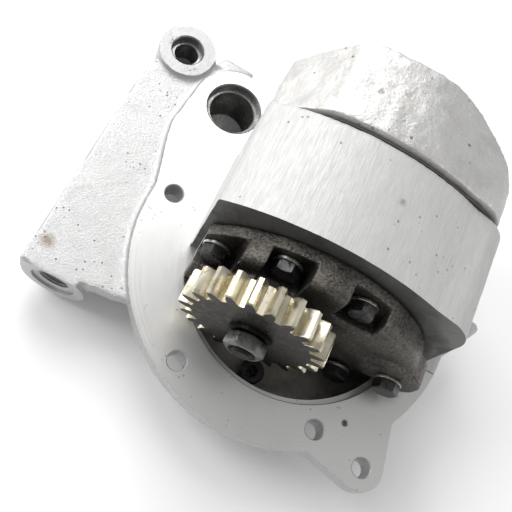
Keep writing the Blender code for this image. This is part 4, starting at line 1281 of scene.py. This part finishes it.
class PUMP_OT_iron_cover(Operator):
    """Makes the dark iron cover with its rounded top edge, bolt notches, hub and lobe."""

    bl_idname = "pump.iron_cover"
    bl_label = "Iron front cover"

    def execute(self, context):
        piece = sand_cast(cover_blank(), IRON_VOXEL, IRON_FIRST_ROUNDS)
        half = NOTCH_WIDTH / 2
        notches = [middle_of(name) for name in COVER_BOLTS if name[-1] in NOTCH_LETTERS]
        for x, z in notches:
            low = (x - half, COVER_FRONT - NOTCH_RUN_OUT, z - NOTCH_FLOOR)
            machined(piece, shape("notch", add_box, low, (x + half, NOTCH_SEAT, z + NOTCH_RISE)))
        sand_cast(piece, IRON_VOXEL, CASTING_ROUNDS)
        roughened(piece, IRON_WAVES)
        for name in COVER_BOLTS:
            machined(piece, across(*middle_of(name), *COVER_HOLE_ENDS, SHANK_HOLE_RADIUS, BOLT_STEPS))
        bush_radius, bush_front = BUSH_POCKET
        seal_radius, seal_back = SEAL_POCKET
        machined(
            piece,
            shaft_bore(bush_front, OVERRUN, bush_radius),
            shaft_bore(COVER_TOOL_FRONT, seal_back, seal_radius),
            shaft_bore(COVER_TOOL_FRONT, OVERRUN, SHAFT_WAY_RADIUS),
        )
        colours = context.scene.pump_colours
        # The notch faces take the iron darkened to NOTCH_SHADE: painted shade of the deep notches, with oil.
        notch_shade_iron = cast_iron(colours, "wet notch iron", NOTCH_SHADE)
        finish_piece(smooth(piece), "housing", ["front_cover"], "cast_iron", cast_iron(colours), notch_shade_iron)
        zoned(piece, lambda place, normal: int(in_notch(place, notches)))
        return {"FINISHED"}


class PUMP_OT_rear_cover(Operator):
    """Makes the rough rear cover with its sloped corner, soft edges and dents."""

    bl_idname = "pump.rear_cover"
    bl_label = "Rear cover"

    def execute(self, context):
        chamfer = (REAR_CHAMFER_TOP_X, REAR_CHAMFER_FOOT_Z)
        section = arch_outline(REAR_LEFT, REAR_RIGHT, ARCH_RADIUS + REAR_RISE, COVER_LOW, chamfer)
        piece = shape("rear_casting", add_front_prism, section, REAR_FRONT, REAR_BACK)
        rounded_in_plan(piece, REAR_PLAN_RADIUS)
        bevelled(piece, "Cast edge", *REAR_ROUNDING)
        sand_cast(piece, REAR_VOXEL, CASTING_ROUNDS)
        roughened(piece, REAR_WAVES)
        front = REAR_FRONT - OVERRUN
        face = shape("face", add_box, *REAR_FACE_CUT)
        machined(piece, face, shaft_bore(front, REAR_SOCKET_BACK, PUMP_BORE_RADIUS))
        for x, z in map(middle_of, REAR_BOLTS):
            machined(
                piece,
                across(x, z, front, REAR_HOLE_BACK, SHANK_HOLE_RADIUS, BOLT_STEPS),
                across(x, z, REAR_BOLT_SEAT, REAR_POCKET_BACK, REAR_POCKET_RADIUS, BOLT_STEPS),
            )
        rough = rough_aluminium(context.scene.pump_colours)
        finish_piece(smooth(piece), "housing", ["rear_cover"], "rough_aluminium", rough)
        return {"FINISHED"}


# What repeats, by Geometry Nodes


def geometry_tree(name, **inputs):
    """A new node tree that takes a mesh, these inputs and a material, and gives a mesh."""
    tree = bpy.data.node_groups.new(name, "GeometryNodeTree")
    for socket, kind in {"Geometry": "Geometry", **inputs, "Material": "Material"}.items():
        tree.interface.new_socket(socket, in_out="INPUT", socket_type=f"NodeSocket{kind}")
    tree.interface.new_socket("Geometry", in_out="OUTPUT", socket_type="NodeSocketGeometry")
    return tree, tree.nodes.new("NodeGroupInput").outputs


def turned_copies(tree, points, form, turn):
    """Copies of an object on points, each turned about Y."""
    source = new_node(tree, "GeometryNodeObjectInfo", Object=form)
    rotation = new_node(tree, "ShaderNodeCombineXYZ", Y=turn)
    copies = new_node(
        tree,
        "GeometryNodeInstanceOnPoints",
        Points=points,
        Instance=source.outputs["Geometry"],
        Rotation=rotation.outputs[0],
    )
    return copies.outputs[0]


def realized(tree, source, material, merge=0.0):
    """Ends a tree: real copies, merged where they meet, in the material given to it."""
    real = new_node(tree, "GeometryNodeRealizeInstances", Geometry=source)
    merged = new_node(tree, "GeometryNodeMergeByDistance", Geometry=real.outputs[0], Distance=merge)
    dressed = new_node(tree, "GeometryNodeSetMaterial", Geometry=merged.outputs[0], Material=material)
    new_node(tree, "NodeGroupOutput", Geometry=dressed.outputs[0])
    return tree


def ring_tree():
    """Copies of one sector set round the Y axis."""
    tree, given = geometry_tree("Ring of sectors", Sector="Object", Count="Int")
    points = new_node(tree, "GeometryNodePoints", Count=given["Count"])
    index = new_node(tree, "GeometryNodeInputIndex").outputs[0]
    step = math_node(tree, "DIVIDE", 2 * math.pi, given["Count"])
    turn = math_node(tree, "MULTIPLY", index, step)
    copies = turned_copies(tree, points.outputs[0], given["Sector"], turn)
    return realized(tree, copies, given["Material"], SECTOR_MERGE * MM)


def seats_tree():
    """A copy of one fastener on each point, turned about Y by the point's own turn."""
    tree, given = geometry_tree("Fasteners on seats", Fastener="Object")
    own = new_node(tree, "GeometryNodeInputNamedAttribute", data_type="FLOAT", Name="turn")
    copies = turned_copies(tree, given["Geometry"], given["Fastener"], own.outputs["Attribute"])
    return realized(tree, copies, given["Material"])


def coil_tree():
    """A wound spring along Y with closed wire ends."""
    tree, given = geometry_tree("Wound spring", Turns="Float", Radius="Float", Length="Float", Wire="Float")
    winding = {"Start Radius": given["Radius"], "End Radius": given["Radius"], "Height": given["Length"]}
    coil = new_node(
        tree, "GeometryNodeCurveSpiral", Resolution=COIL_STEPS, Rotations=given["Turns"], **winding
    )
    along_y = (-math.pi / 2, 0.0, 0.0)
    laid = new_node(tree, "GeometryNodeTransform", Geometry=coil.outputs[0], Rotation=along_y)
    section = new_node(
        tree, "GeometryNodeCurvePrimitiveCircle", Resolution=WIRE_STEPS, Radius=given["Wire"]
    )
    sweep = {"Curve": laid.outputs[0], "Profile Curve": section.outputs[0], "Fill Caps": True}
    drawn = new_node(tree, "GeometryNodeCurveToMesh", **sweep)
    return realized(tree, drawn.outputs[0], given["Material"], WIRE_MERGE * MM)


def grown(piece, tree, **values):
    """Runs a node tree on a piece with these inputs, and keeps its result as a plain mesh."""
    modifier = piece.modifiers.new(tree.name, "NODES")
    modifier.node_group = tree
    sockets = {item.name: item.identifier for item in tree.interface.items_tree if item.in_out == "INPUT"}
    for name, value in values.items():
        modifier[sockets[name]] = value
    return settled(piece)


def involute(radius, base_radius):
    """The angle that an involute has turned through at a radius."""
    angle = math.acos(min(1.0, base_radius / radius))
    return math.tan(angle) - angle


def tooth_profile():
    """Half-angle and radius of one tooth's side, from its root to its tip."""
    pitch = GEAR_MODULE * GEAR_TEETH / 2
    base = pitch * math.cos(math.radians(GEAR_PRESSURE_ANGLE))
    root, tip = pitch - GEAR_DEDENDUM * GEAR_MODULE, pitch + GEAR_MODULE
    half_at_pitch = math.pi / GEAR_TEETH / 2
    side = []
    for step in range(FLANK_POINTS):
        radius = root + (tip - root) * step / (FLANK_POINTS - 1)
        half = half_at_pitch + involute(pitch, base) - involute(max(radius, base), base)
        side.append((radius, half + (GEAR_ROOT_SPREAD if step == 0 else 0.0)))
    return side


def gear_sector(front, back):
    """One tooth with its share of the web, open where it meets the next sector."""
    side = tooth_profile()
    share = math.pi / GEAR_TEETH
    root = side[0][0]
    rim = [(root, -share)] + [(radius, -half) for radius, half in side]
    tip_radius, tip_half = side[-1]
    rim += [(tip_radius, tip_half * (2 * i / TIP_POINTS - 1)) for i in range(1, TIP_POINTS)]
    rim += [(radius, half) for radius, half in reversed(side)] + [(root, share)]
    work = bmesh.new()

    def point(radius, y, angle):
        return work.verts.new(Vector((radius * math.sin(angle) * MM, y * MM, radius * math.cos(angle) * MM)))

    def row(y, drop):
        inner = [point(GEAR_BORE_RADIUS + drop * BORE_CHAMFER_SHARE, y, angle) for _, angle in rim]
        drops = [drop if radius > root + ROOT_MARGIN else 0.0 for radius, _ in rim]
        outer = [point(radius - less, y, angle) for (radius, angle), less in zip(rim, drops)]
        return inner, outer

    depth = back - front
    places = ((0, GEAR_CHAMFER), (GEAR_CHAMFER, 0), (depth - GEAR_CHAMFER, 0), (depth, GEAR_CHAMFER))
    rows = [row(y, drop) for y, drop in places]
    (front_inner, front_outer), (back_inner, back_outer) = rows[0], rows[-1]
    for i in range(len(rim) - 1):
        for (near_inner, near_outer), (far_inner, far_outer) in zip(rows, rows[1:]):
            work.faces.new((near_outer[i], near_outer[i + 1], far_outer[i + 1], far_outer[i]))
            work.faces.new((near_inner[i + 1], near_inner[i], far_inner[i], far_inner[i + 1]))
        work.faces.new((front_inner[i], front_inner[i + 1], front_outer[i + 1], front_outer[i]))
        work.faces.new((back_inner[i + 1], back_inner[i], back_outer[i], back_outer[i + 1]))
    mesh = bpy.data.meshes.new("sector")
    work.to_mesh(mesh)
    work.free()
    return linked("sector", mesh)


class PUMP_OT_gear(Operator):
    """Makes the spur gear from one tooth set round the shaft, with its keyway."""

    bl_idname = "pump.gear"
    bl_label = "Drive gear"

    def execute(self, context):
        colours = context.scene.pump_colours
        low, high = node_box("drive_gear")
        sector = gear_sector(low.y, high.y)
        oil = colours.amber_oil
        face = gear_steel("gear face steel", colours.gear_face, oil, 1.5, 0.3)
        flank = gear_steel("gear tooth steel", colours.gear_tooth, oil, 1.25, 1.0)
        piece = linked("spur_gear", bpy.data.meshes.new("spur_gear"))
        grown(piece, ring_tree(), Sector=sector, Count=context.scene.pump_sizes.gear_teeth, Material=face)
        bpy.data.objects.remove(sector)
        work = bmesh.new()
        work.from_mesh(piece.data)
        bmesh.ops.recalc_face_normals(work, faces=work.faces)
        work.transform(Matrix.Translation(at(SHAFT_X, low.y, SHAFT_Z)))
        work.to_mesh(piece.data)
        work.free()
        key_low = (SHAFT_X - KEYWAY_HALF_WIDTH, low.y - LAP, SHAFT_Z)
        key_high = (SHAFT_X + KEYWAY_HALF_WIDTH, high.y + LAP, SHAFT_Z + KEYWAY_TOP)
        machined(piece, shape("keyway", add_box, key_low, key_high))
        smooth(piece, SMALL_SHARP)
        finish_piece(piece, "rotor", ["drive_gear"], "gear_steel", face, flank)
        zoned(piece, lambda place, normal: int(abs(normal.y) < FACING))
        return {"FINISHED"}


def add_hexagon(work, across_flats, crown, seat):
    """A hexagonal block along Y about the origin."""
    corner_radius = across_flats / math.sqrt(3) * MM
    bmesh.ops.create_cone(
        work,
        cap_ends=True,
        segments=6,
        radius1=corner_radius,
        radius2=corner_radius,
        depth=abs(seat - crown) * MM,
        matrix=Matrix.Translation((0, (crown + seat) / 2 * MM, 0)) @ Matrix.Rotation(math.pi / 2, 4, "X"),
    )


def hexagon_block(name, across_flats, crown, seat, both_ends=False):
    """A hexagonal block along Y about the origin, with the corners of one end or both turned off."""
    block = shape(name, add_hexagon, across_flats, crown, seat)
    narrow, wide = across_flats * CROWN_NARROW, across_flats * CROWN_WIDE
    slope = math.copysign((wide - narrow) * CROWN_SLOPE, seat - crown)
    last = narrow if both_ends else wide
    profile = [(0, crown), (narrow, crown), (wide, crown + slope)]
    profile += [(wide, seat - slope), (last, seat), (0, seat)]
    return boolean(block, turned_form("crown", profile, CROWN_STEPS), "INTERSECT", "EXACT")


def cover_bolt_form():
    """A hexagon bolt seated at the origin, with its head towards -Y."""
    head = hexagon_block("bolt", BOLT_ACROSS_FLATS, -BOLT_HEAD_THICKNESS, 0.0)
    bevelled(head, "Broken edge", *BOLT_EDGE)
    profile = [
        (0, -LAP),
        (BOLT_SHANK_RADIUS, -LAP),
        (BOLT_SHANK_RADIUS, BOLT_SHANK_LENGTH - END_CHAMFER),
        (BOLT_SHANK_RADIUS - END_CHAMFER, BOLT_SHANK_LENGTH),
        (0, BOLT_SHANK_LENGTH),
    ]
    return boolean(head, turned_form("shank", profile, BOLT_STEPS), "UNION", "EXACT")


def washer_form():
    """A flat washer with broken edges, with its back face at the origin."""
    front, ease = -WASHER_THICKNESS, WASHER_EDGE
    profile = [
        (WASHER_HOLE_RADIUS, front + ease),
        (WASHER_HOLE_RADIUS + ease, front),
        (WASHER_RADIUS - ease, front),
        (WASHER_RADIUS, front + ease),
        (WASHER_RADIUS, -ease),
        (WASHER_RADIUS - ease, 0.0),
        (WASHER_HOLE_RADIUS, 0.0),
    ]
    return turned_form("washer", profile, BOLT_STEPS)


def seated(name, form, seats, material):
    """Copies of a fastener on seats of (x, y, z, turn), as one plain mesh."""
    mesh = bpy.data.meshes.new(name)
    mesh.from_pydata([at(x, y, z) for x, y, z, _ in seats], [], [])
    turns = mesh.attributes.new("turn", "FLOAT", "POINT")
    turns.data.foreach_set("value", [turn for *_, turn in seats])
    piece = linked(name, mesh)
    tree = bpy.data.node_groups.get("Fasteners on seats") or seats_tree()
    grown(piece, tree, Fastener=form, Material=material)
    bpy.data.objects.remove(form)
    return smooth(piece, SMALL_SHARP)


class PUMP_OT_cover_bolts(Operator):
    """Sets the five blacked hexagon bolts and their bright washers on the iron cover."""

    bl_idname = "pump.cover_bolts"
    bl_label = "Cover bolts and washers"

    def execute(self, context):
        colours = context.scene.pump_colours
        heads, rings = [], []
        for index, (bolt, washer) in enumerate(zip(COVER_BOLTS, COVER_WASHERS)):
            x, z = middle_of(washer)
            rings.append((x, node_box(washer)[1].y, z, 0.0))
            turn = BOLT_FIRST_TURN + BOLT_NEXT_TURN * index
            heads.append((x, node_box(bolt)[0].y + BOLT_HEAD_THICKNESS, z, turn))
        dark = blacked_steel("blacked bolt steel", colours.bolt, colours.oil, 0.3, 900.0)
        bright = steel("bright washer steel", colours.bright, colours.amber_oil, 0.26, even(1200.0))
        bolts = seated("cover_bolts", cover_bolt_form(), heads, dark)
        washers = seated("cover_washers", washer_form(), rings, bright)
        finish_piece(bolts, "housing", COVER_BOLTS, "bolt_steel")
        finish_piece(washers, "housing", COVER_WASHERS, "bright_washer")
        return {"FINISHED"}


def fine_nut():
    """The gear nut with its broken edges, its thread hole and the sink round its thread."""
    low, high = node_box("gear_nut")
    nut = hexagon_block("gear_nut_fine", NUT_ACROSS_FLATS, low.y, high.y, both_ends=True)
    bevelled(nut, "Broken edge", *NUT_EDGE)
    nut.data.transform(Matrix.Translation(at(SHAFT_X, 0, SHAFT_Z)) @ Matrix.Rotation(NUT_TURN, 4, "Y"))
    sink_end = low.y + NUT_SINK_RADIUS - THREAD_RADIUS
    sink = [(0, low.y - LAP), (NUT_SINK_RADIUS + LAP, low.y - LAP), (THREAD_RADIUS, sink_end), (0, sink_end)]
    return machined(
        nut,
        shaft_bore(low.y - OVERRUN, high.y + OVERRUN, THREAD_RADIUS + SHAFT_PLAY),
        shape("sink", add_turned, sink, (SHAFT_X, SHAFT_Z), BORE_STEPS),
    )


def threaded_shaft():
    """The shaft with its threaded end, gear seat, key seat and two journals."""
    start, stop = node_box("drive_shaft")
    gear_low, gear_high = node_box("drive_gear")
    tail_low, tail_high = node_box("rear_shaft_bush")
    journal = node_box("front_shaft_bush")[1].x - SHAFT_X - BUSH_WALL
    tail = (tail_high.x - tail_low.x) / 2 - BUSH_WALL
    tail_start = tail_low.y - TAIL_LEAD
    thread_end = gear_low.y + LAP
    seat, seat_end = GEAR_BORE_RADIUS - SHAFT_PLAY, gear_high.y + SHAFT_PLAY
    first, last = start.y + SHAFT_THREAD_LEAD, thread_end - SHAFT_THREAD_END
    profile = [
        (0, start.y),
        (THREAD_RADIUS - SHAFT_POINT, start.y),
        *thread(first, last, THREAD_RADIUS - SHAFT_THREAD_DEPTH, THREAD_RADIUS),
        (THREAD_RADIUS - THREAD_RELIEF, thread_end),
        (seat, thread_end),
        (seat, seat_end),
        (journal, seat_end),
        (journal, tail_start - JOURNAL_SLOPE),
        (tail, tail_start),
        (tail, stop.y - END_CHAMFER),
        (tail - END_CHAMFER, stop.y),
        (0, stop.y),
    ]
    shaft = shape("threaded_shaft", add_turned, profile, (SHAFT_X, SHAFT_Z), BORE_STEPS)
    key_low, key_high = node_box("gear_key")
    play = Vector((SHAFT_PLAY, SHAFT_PLAY, SHAFT_PLAY))
    above = Vector((SHAFT_PLAY, SHAFT_PLAY, OVERRUN))
    return machined(shaft, shape("seat", add_box, key_low - play, key_high + above))


def in_sink(place, normal):
    """Whether a face of the nut lies in the sink or the hole round its thread."""
    reach = math.hypot(place.x - SHAFT_X, place.z - SHAFT_Z)
    return int(reach < NUT_SINK_RADIUS and abs(normal.y) < FACING)


class PUMP_OT_gear_nut(Operator):
    """Makes the gear nut and the shaft with its threaded end."""

    bl_idname = "pump.gear_nut"
    bl_label = "Gear nut and shaft"

    def execute(self, context):
        colours = context.scene.pump_colours
        grey = blacked_steel("grey nut steel", colours.nut, colours.oil, 0.34, 700.0)
        # Dark steel of oil and painted shade: it darkens the shaft's end and the nut's sink as a deep recess
        # would.
        oily = steel("oily shaft steel", colours.shaft, colours.oil, 0.4, (300.0, 1500.0, 300.0))
        nut = smooth(fine_nut(), SMALL_SHARP)
        finish_piece(nut, "rotor", ["gear_nut"], "bolt_steel", grey, oily)
        # The sink and the hole round the thread take the dark steel as painted shade.
        zoned(nut, in_sink)
        shaft = smooth(threaded_shaft(), SMALL_SHARP)
        finish_piece(shaft, "rotor", ["drive_shaft"], "ground_steel", oily)
        return {"FINISHED"}


class PUMP_OT_floor_screw(Operator):
    """Makes the black socket screw in the floor of the pocket."""

    bl_idname = "pump.floor_screw"
    bl_label = "Floor screw"

    def execute(self, context):
        low, high = node_box("floor_screw")
        x, y = (low.x + high.x) / 2, (low.y + high.y) / 2
        head = (high.x - low.x) / 2
        under = POCKET_FLOOR - SCREW_GAP
        profile = [
            (0, -low.z),
            (SCREW_SHANK_RADIUS, -low.z),
            (SCREW_SHANK_RADIUS, under),
            (head - SCREW_EDGE, under),
            (head, under - SCREW_EDGE),
            (head, -high.z + SCREW_CROWN),
            (head - SCREW_CROWN, -high.z),
            (0, -high.z),
        ]
        piece = turned_form("socket_screw", profile, SCREW_STEPS, upright(x, y, LOOKS_DOWN))
        socket_ends = (x, y, high.z - SOCKET_DEPTH), (x, y, high.z + RUN_OUT)
        machined(piece, shape("socket", add_cylinder, *socket_ends, SOCKET_RADIUS, steps=6))
        colours = context.scene.pump_colours
        black = blacked_steel("black screw steel", scaled(colours.bolt, 0.6), colours.oil, 0.36, 800.0)
        finish_piece(smooth(piece, SMALL_SHARP), "housing", ["floor_screw"], "bolt_steel", black)
        return {"FINISHED"}


class PUMP_OT_springs(Operator):
    """Winds the piston return springs, each as long as its node."""

    bl_idname = "pump.springs"
    bl_label = "Return springs"

    def execute(self, context):
        sizes, colours = context.scene.pump_sizes, context.scene.pump_colours
        wire_steel = steel("spring wire steel", colours.bolt, colours.oil, 0.3, even(800.0))
        tree = coil_tree()
        radius = sizes.spring_wire / 2
        for node in SPRINGS:
            number = node.rsplit("_", 1)[1]
            low, high = node_box(node)
            x, z = middle_of(node)
            length = (high.y - low.y) * MM
            piece = linked(f"wound_spring_{number}", bpy.data.meshes.new(f"wound_spring_{number}"))
            grown(
                piece,
                tree,
                Turns=float(sizes.spring_turns),
                Radius=(high.x - low.x) / 2 * MM - radius,
                Length=length - 2 * radius,
                Wire=radius,
                Material=wire_steel,
            )
            piece.data.transform(Matrix.Translation(at(x, low.y, z) + Vector((0, radius, 0))))
            smooth(piece, WIRE_SHARP)
            finish_piece(piece, "housing", [node], "spring_steel")
            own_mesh(piece)
        return {"FINISHED"}


INNER_FINISHES = {
    "wobble_plate": "ground",
    "thrust_race": "ground",
    "cylinder_block": "ground",
    "valve_plate": "ground",
    "gear_key": "ground",
    "gear_lock_washer": "dull",
    "front_shaft_bush": "bronze",
    "rear_shaft_bush": "bronze",
    "shaft_seal": "rubber",
    "rear_gasket": "gasket",
}


class PUMP_OT_inner_pieces(Operator):
    """Gives the carried-over inner pieces and rear bolts their finishes."""

    bl_idname = "pump.inner_pieces"
    bl_label = "Inner pieces"

    def execute(self, context):
        colours = context.scene.pump_colours
        oil = colours.oil
        finishes = {
            "ground": steel("ground steel", colours.bright, oil, 0.24, (1500.0, 200.0, 1500.0)),
            "dull": steel("dull lock washer", colours.shaft, oil, 0.38, even(1200.0)),
            "blacked": blacked_steel("blacked rear bolt steel", colours.bolt, oil, 0.32, 900.0),
            "bronze": steel("bearing bronze", colours.bronze, 0.5, 0.36, (1200.0, 300.0, 1200.0)),
            "rubber": soft_stuff("seal rubber", colours.rubber, 1600.0, 0.62),
            "gasket": soft_stuff("gasket sheet", colours.gasket, 900.0, 0.8),
        }
        pistons = [name for name in frame["nodes"] if name.startswith("piston_") and name not in SPRINGS]
        kinds = {**INNER_FINISHES, **dict.fromkeys(REAR_BOLTS, "blacked"), **dict.fromkeys(pistons, "ground")}
        for name, kind in kinds.items():
            mesh = frame["nodes"][name].data
            mesh.materials.clear()
            mesh.materials.append(finishes[kind])
        return {"FINISHED"}


# Stage


def area_lamp(name, place, size, target, watts):
    """A round softbox that looks at a target."""
    data = bpy.data.lights.new(name, "AREA")
    data.shape = "DISK"
    data.size = size
    data.energy = watts
    lamp = linked(name, data)
    lamp.location = place
    lamp.rotation_mode = "QUATERNION"
    lamp.rotation_quaternion = (target - Vector(place)).to_track_quat("-Z", "Y")


def seen_rays(tree):
    """1 for rays from the camera, from gloss and through glass, 0 for the light that falls on things."""
    path = tree.nodes.new("ShaderNodeLightPath")
    both = math_node(tree, "MAXIMUM", path.outputs["Is Camera Ray"], path.outputs["Is Glossy Ray"])
    return math_node(tree, "MAXIMUM", both, path.outputs["Is Transmission Ray"])


class PUMP_OT_stage(Operator):
    """Sets the pale floor, the soft lamps, the world and the photograph's camera."""

    bl_idname = "pump.stage"
    bl_label = "Stage"

    def execute(self, context):
        scene, sizes = context.scene, context.scene.pump_sizes
        scene.view_settings.view_transform = "Standard"
        scene.render.film_transparent = False

        floor_low = (-FLOOR_REACH, -FLOOR_REACH, -FACE_Z - FLOOR_THICKNESS)
        floor = shape("floor", add_box, floor_low, (FLOOR_REACH, FLOOR_REACH, -FACE_Z))
        finish = Finish("pale floor", 0.0)
        finish.shader.inputs["Roughness"].default_value = FLOOR_ROUGHNESS
        grime = finish.effect("Grime", Size=6.0)["Mask"]
        finish.colour(scene.pump_colours.floor, (grime, 0.1, 0.97))
        floor.data.materials.append(finish.material)

        world = bpy.data.worlds.new("Studio")
        world.use_nodes = True
        scene.world = world
        tree = world.node_tree
        back = tree.nodes["Background"]
        back.inputs["Color"].default_value = (1.0, 1.0, 1.0, 1.0)
        mix = new_node(tree, "ShaderNodeMix", data_type="FLOAT", Factor=seen_rays(tree))
        fill(tree, mix.inputs[2], sizes.world_light)
        fill(tree, mix.inputs[3], sizes.world_seen)
        fill(tree, back.inputs["Strength"], mix.outputs[0])

        target = at(*LAMP_TARGET)
        area_lamp("key softbox", *KEY_LAMP, target, sizes.key_watts)
        area_lamp("left softbox", *LEFT_LAMP, target, sizes.fill_watts)
        area_lamp("right softbox", *RIGHT_LAMP, target, sizes.right_watts)

        data = bpy.data.cameras.new("photo camera")
        data.lens = CAMERA_LENS
        data.sensor_width = CAMERA_SENSOR
        data.clip_start, data.clip_end = CAMERA_CLIP
        camera = linked("photo camera", data)
        axes = Matrix((CAMERA_RIGHT, CAMERA_UP, CAMERA_BACK)).transposed().to_4x4()
        camera.matrix_world = Matrix.Translation(Vector(CAMERA_PLACE) * MM) @ axes
        scene.camera = camera
        return {"FINISHED"}


# Add-on


def colour_property(name, description, default):
    """A colour that a user can change."""
    return FloatVectorProperty(
        name=name, description=description, default=default, subtype="COLOR", size=3, min=0.0, max=1.0
    )


def level_property(name, description, default, **options):
    """A number that a user can change."""
    return FloatProperty(name=name, description=description, default=default, **options)


def count_property(name, description, default, least):
    """A count that a user can change."""
    return IntProperty(name=name, description=description, default=default, min=least)


class PumpColours(PropertyGroup):
    """Colours of the pump's finishes, in linear light."""

    aluminium: colour_property("Cast aluminium", "Skin of the body casting", (0.55, 0.55, 0.548))
    planed: colour_property("Planed aluminium", "Machined and brushed faces", (0.72, 0.72, 0.71))
    # The lip band's dark grey is painted shade: the barrel's front face looks away from the lamps.
    lip: colour_property("Lip band", "Front face of the barrel", (0.2, 0.2, 0.195))
    pocket: colour_property("Pocket", "Oily floor of the gear pocket", (0.3, 0.285, 0.26))
    rough: colour_property("Rough aluminium", "Rear cover", (0.6, 0.595, 0.58))
    iron: colour_property("Cast iron", "Front cover", (0.075, 0.07, 0.063))
    rust: colour_property("Rust", "Brown tint on the iron", (0.12, 0.075, 0.035))
    oil: colour_property("Oil", "Dark oil film", (0.018, 0.017, 0.015))
    amber_oil: colour_property("Fresh oil", "Yellow oil film on bright steel", (0.42, 0.34, 0.17))
    stain: colour_property("Stain", "Brown stain on the aluminium", (0.2, 0.15, 0.09))
    gear_face: colour_property("Gear face", "Grey side of the gear", (0.075, 0.073, 0.07))
    gear_tooth: colour_property("Gear teeth", "Bright tooth flanks", (0.62, 0.58, 0.47))
    bolt: colour_property("Blacked steel", "Bolt heads", (0.1, 0.1, 0.1))
    nut: colour_property("Nut", "Grey gear nut", (0.2, 0.2, 0.195))
    # Dark as oil and painted shade, for the shaft's end and the nut's sink; the lock washer takes it too.
    shaft: colour_property("Shaft", "Oily shaft steel", (0.03, 0.029, 0.027))
    bright: colour_property("Bright steel", "Washers and ground pieces", (0.55, 0.55, 0.53))
    bronze: colour_property("Bronze", "Shaft bushes", (0.45, 0.28, 0.12))
    rubber: colour_property("Rubber", "Shaft seal", (0.02, 0.02, 0.02))
    gasket: colour_property("Gasket", "Gasket sheet", (0.1, 0.095, 0.085))
    floor: colour_property("Floor", "Pale floor", (0.9, 0.9, 0.9))


class PumpSizes(PropertyGroup):
    """Counts, sizes and light levels that a user would change."""

    gear_teeth: count_property("Gear teeth", "Teeth of the drive gear", GEAR_TEETH, 8)
    spring_turns: count_property("Spring turns", "Turns of each return spring", 6, 2)
    spring_wire: level_property("Spring wire", "Wire diameter", 1.1 * MM, min=0.3 * MM, unit="LENGTH")
    world_light: level_property("World light", "Light that the world sheds", 0.56, min=0.0)
    world_seen: level_property("World seen", "World as camera and gloss see it", 0.42, min=0.0)
    key_watts: level_property("Key lamp", "Softbox above and behind", 13.5, unit="POWER")
    fill_watts: level_property("Left lamp", "Softbox at the left", 6.2, unit="POWER")
    right_watts: level_property("Right lamp", "Softbox at the right", 1.6, unit="POWER")


STEPS = (
    PUMP_OT_stage,
    PUMP_OT_casting,
    PUMP_OT_iron_cover,
    PUMP_OT_rear_cover,
    PUMP_OT_gear,
    PUMP_OT_cover_bolts,
    PUMP_OT_gear_nut,
    PUMP_OT_floor_screw,
    PUMP_OT_springs,
    PUMP_OT_inner_pieces,
)


class PUMP_PT_panel(Panel):
    """Lists the pump's pieces in the sidebar."""

    bl_idname = "PUMP_PT_panel"
    bl_label = "Axial piston pump"
    bl_space_type = "VIEW_3D"
    bl_region_type = "UI"
    bl_category = "Pump"

    def draw(self, context):
        for step in STEPS:
            self.layout.operator(step.bl_idname)
        for group in (context.scene.pump_sizes, context.scene.pump_colours):
            for name in group.__annotations__:
                self.layout.prop(group, name)


CLASSES = (PumpColours, PumpSizes, *STEPS, PUMP_PT_panel)


def register():
    for made in CLASSES:
        bpy.utils.register_class(made)
    bpy.types.Scene.pump_colours = PointerProperty(type=PumpColours)
    bpy.types.Scene.pump_sizes = PointerProperty(type=PumpSizes)


def unregister():
    del bpy.types.Scene.pump_sizes
    del bpy.types.Scene.pump_colours
    for made in reversed(CLASSES):
        bpy.utils.unregister_class(made)


def main():
    register()
    for step in STEPS:
        area, verb = step.bl_idname.split(".")
        getattr(getattr(bpy.ops, area), verb)()


if __name__ == "__main__":
    main()
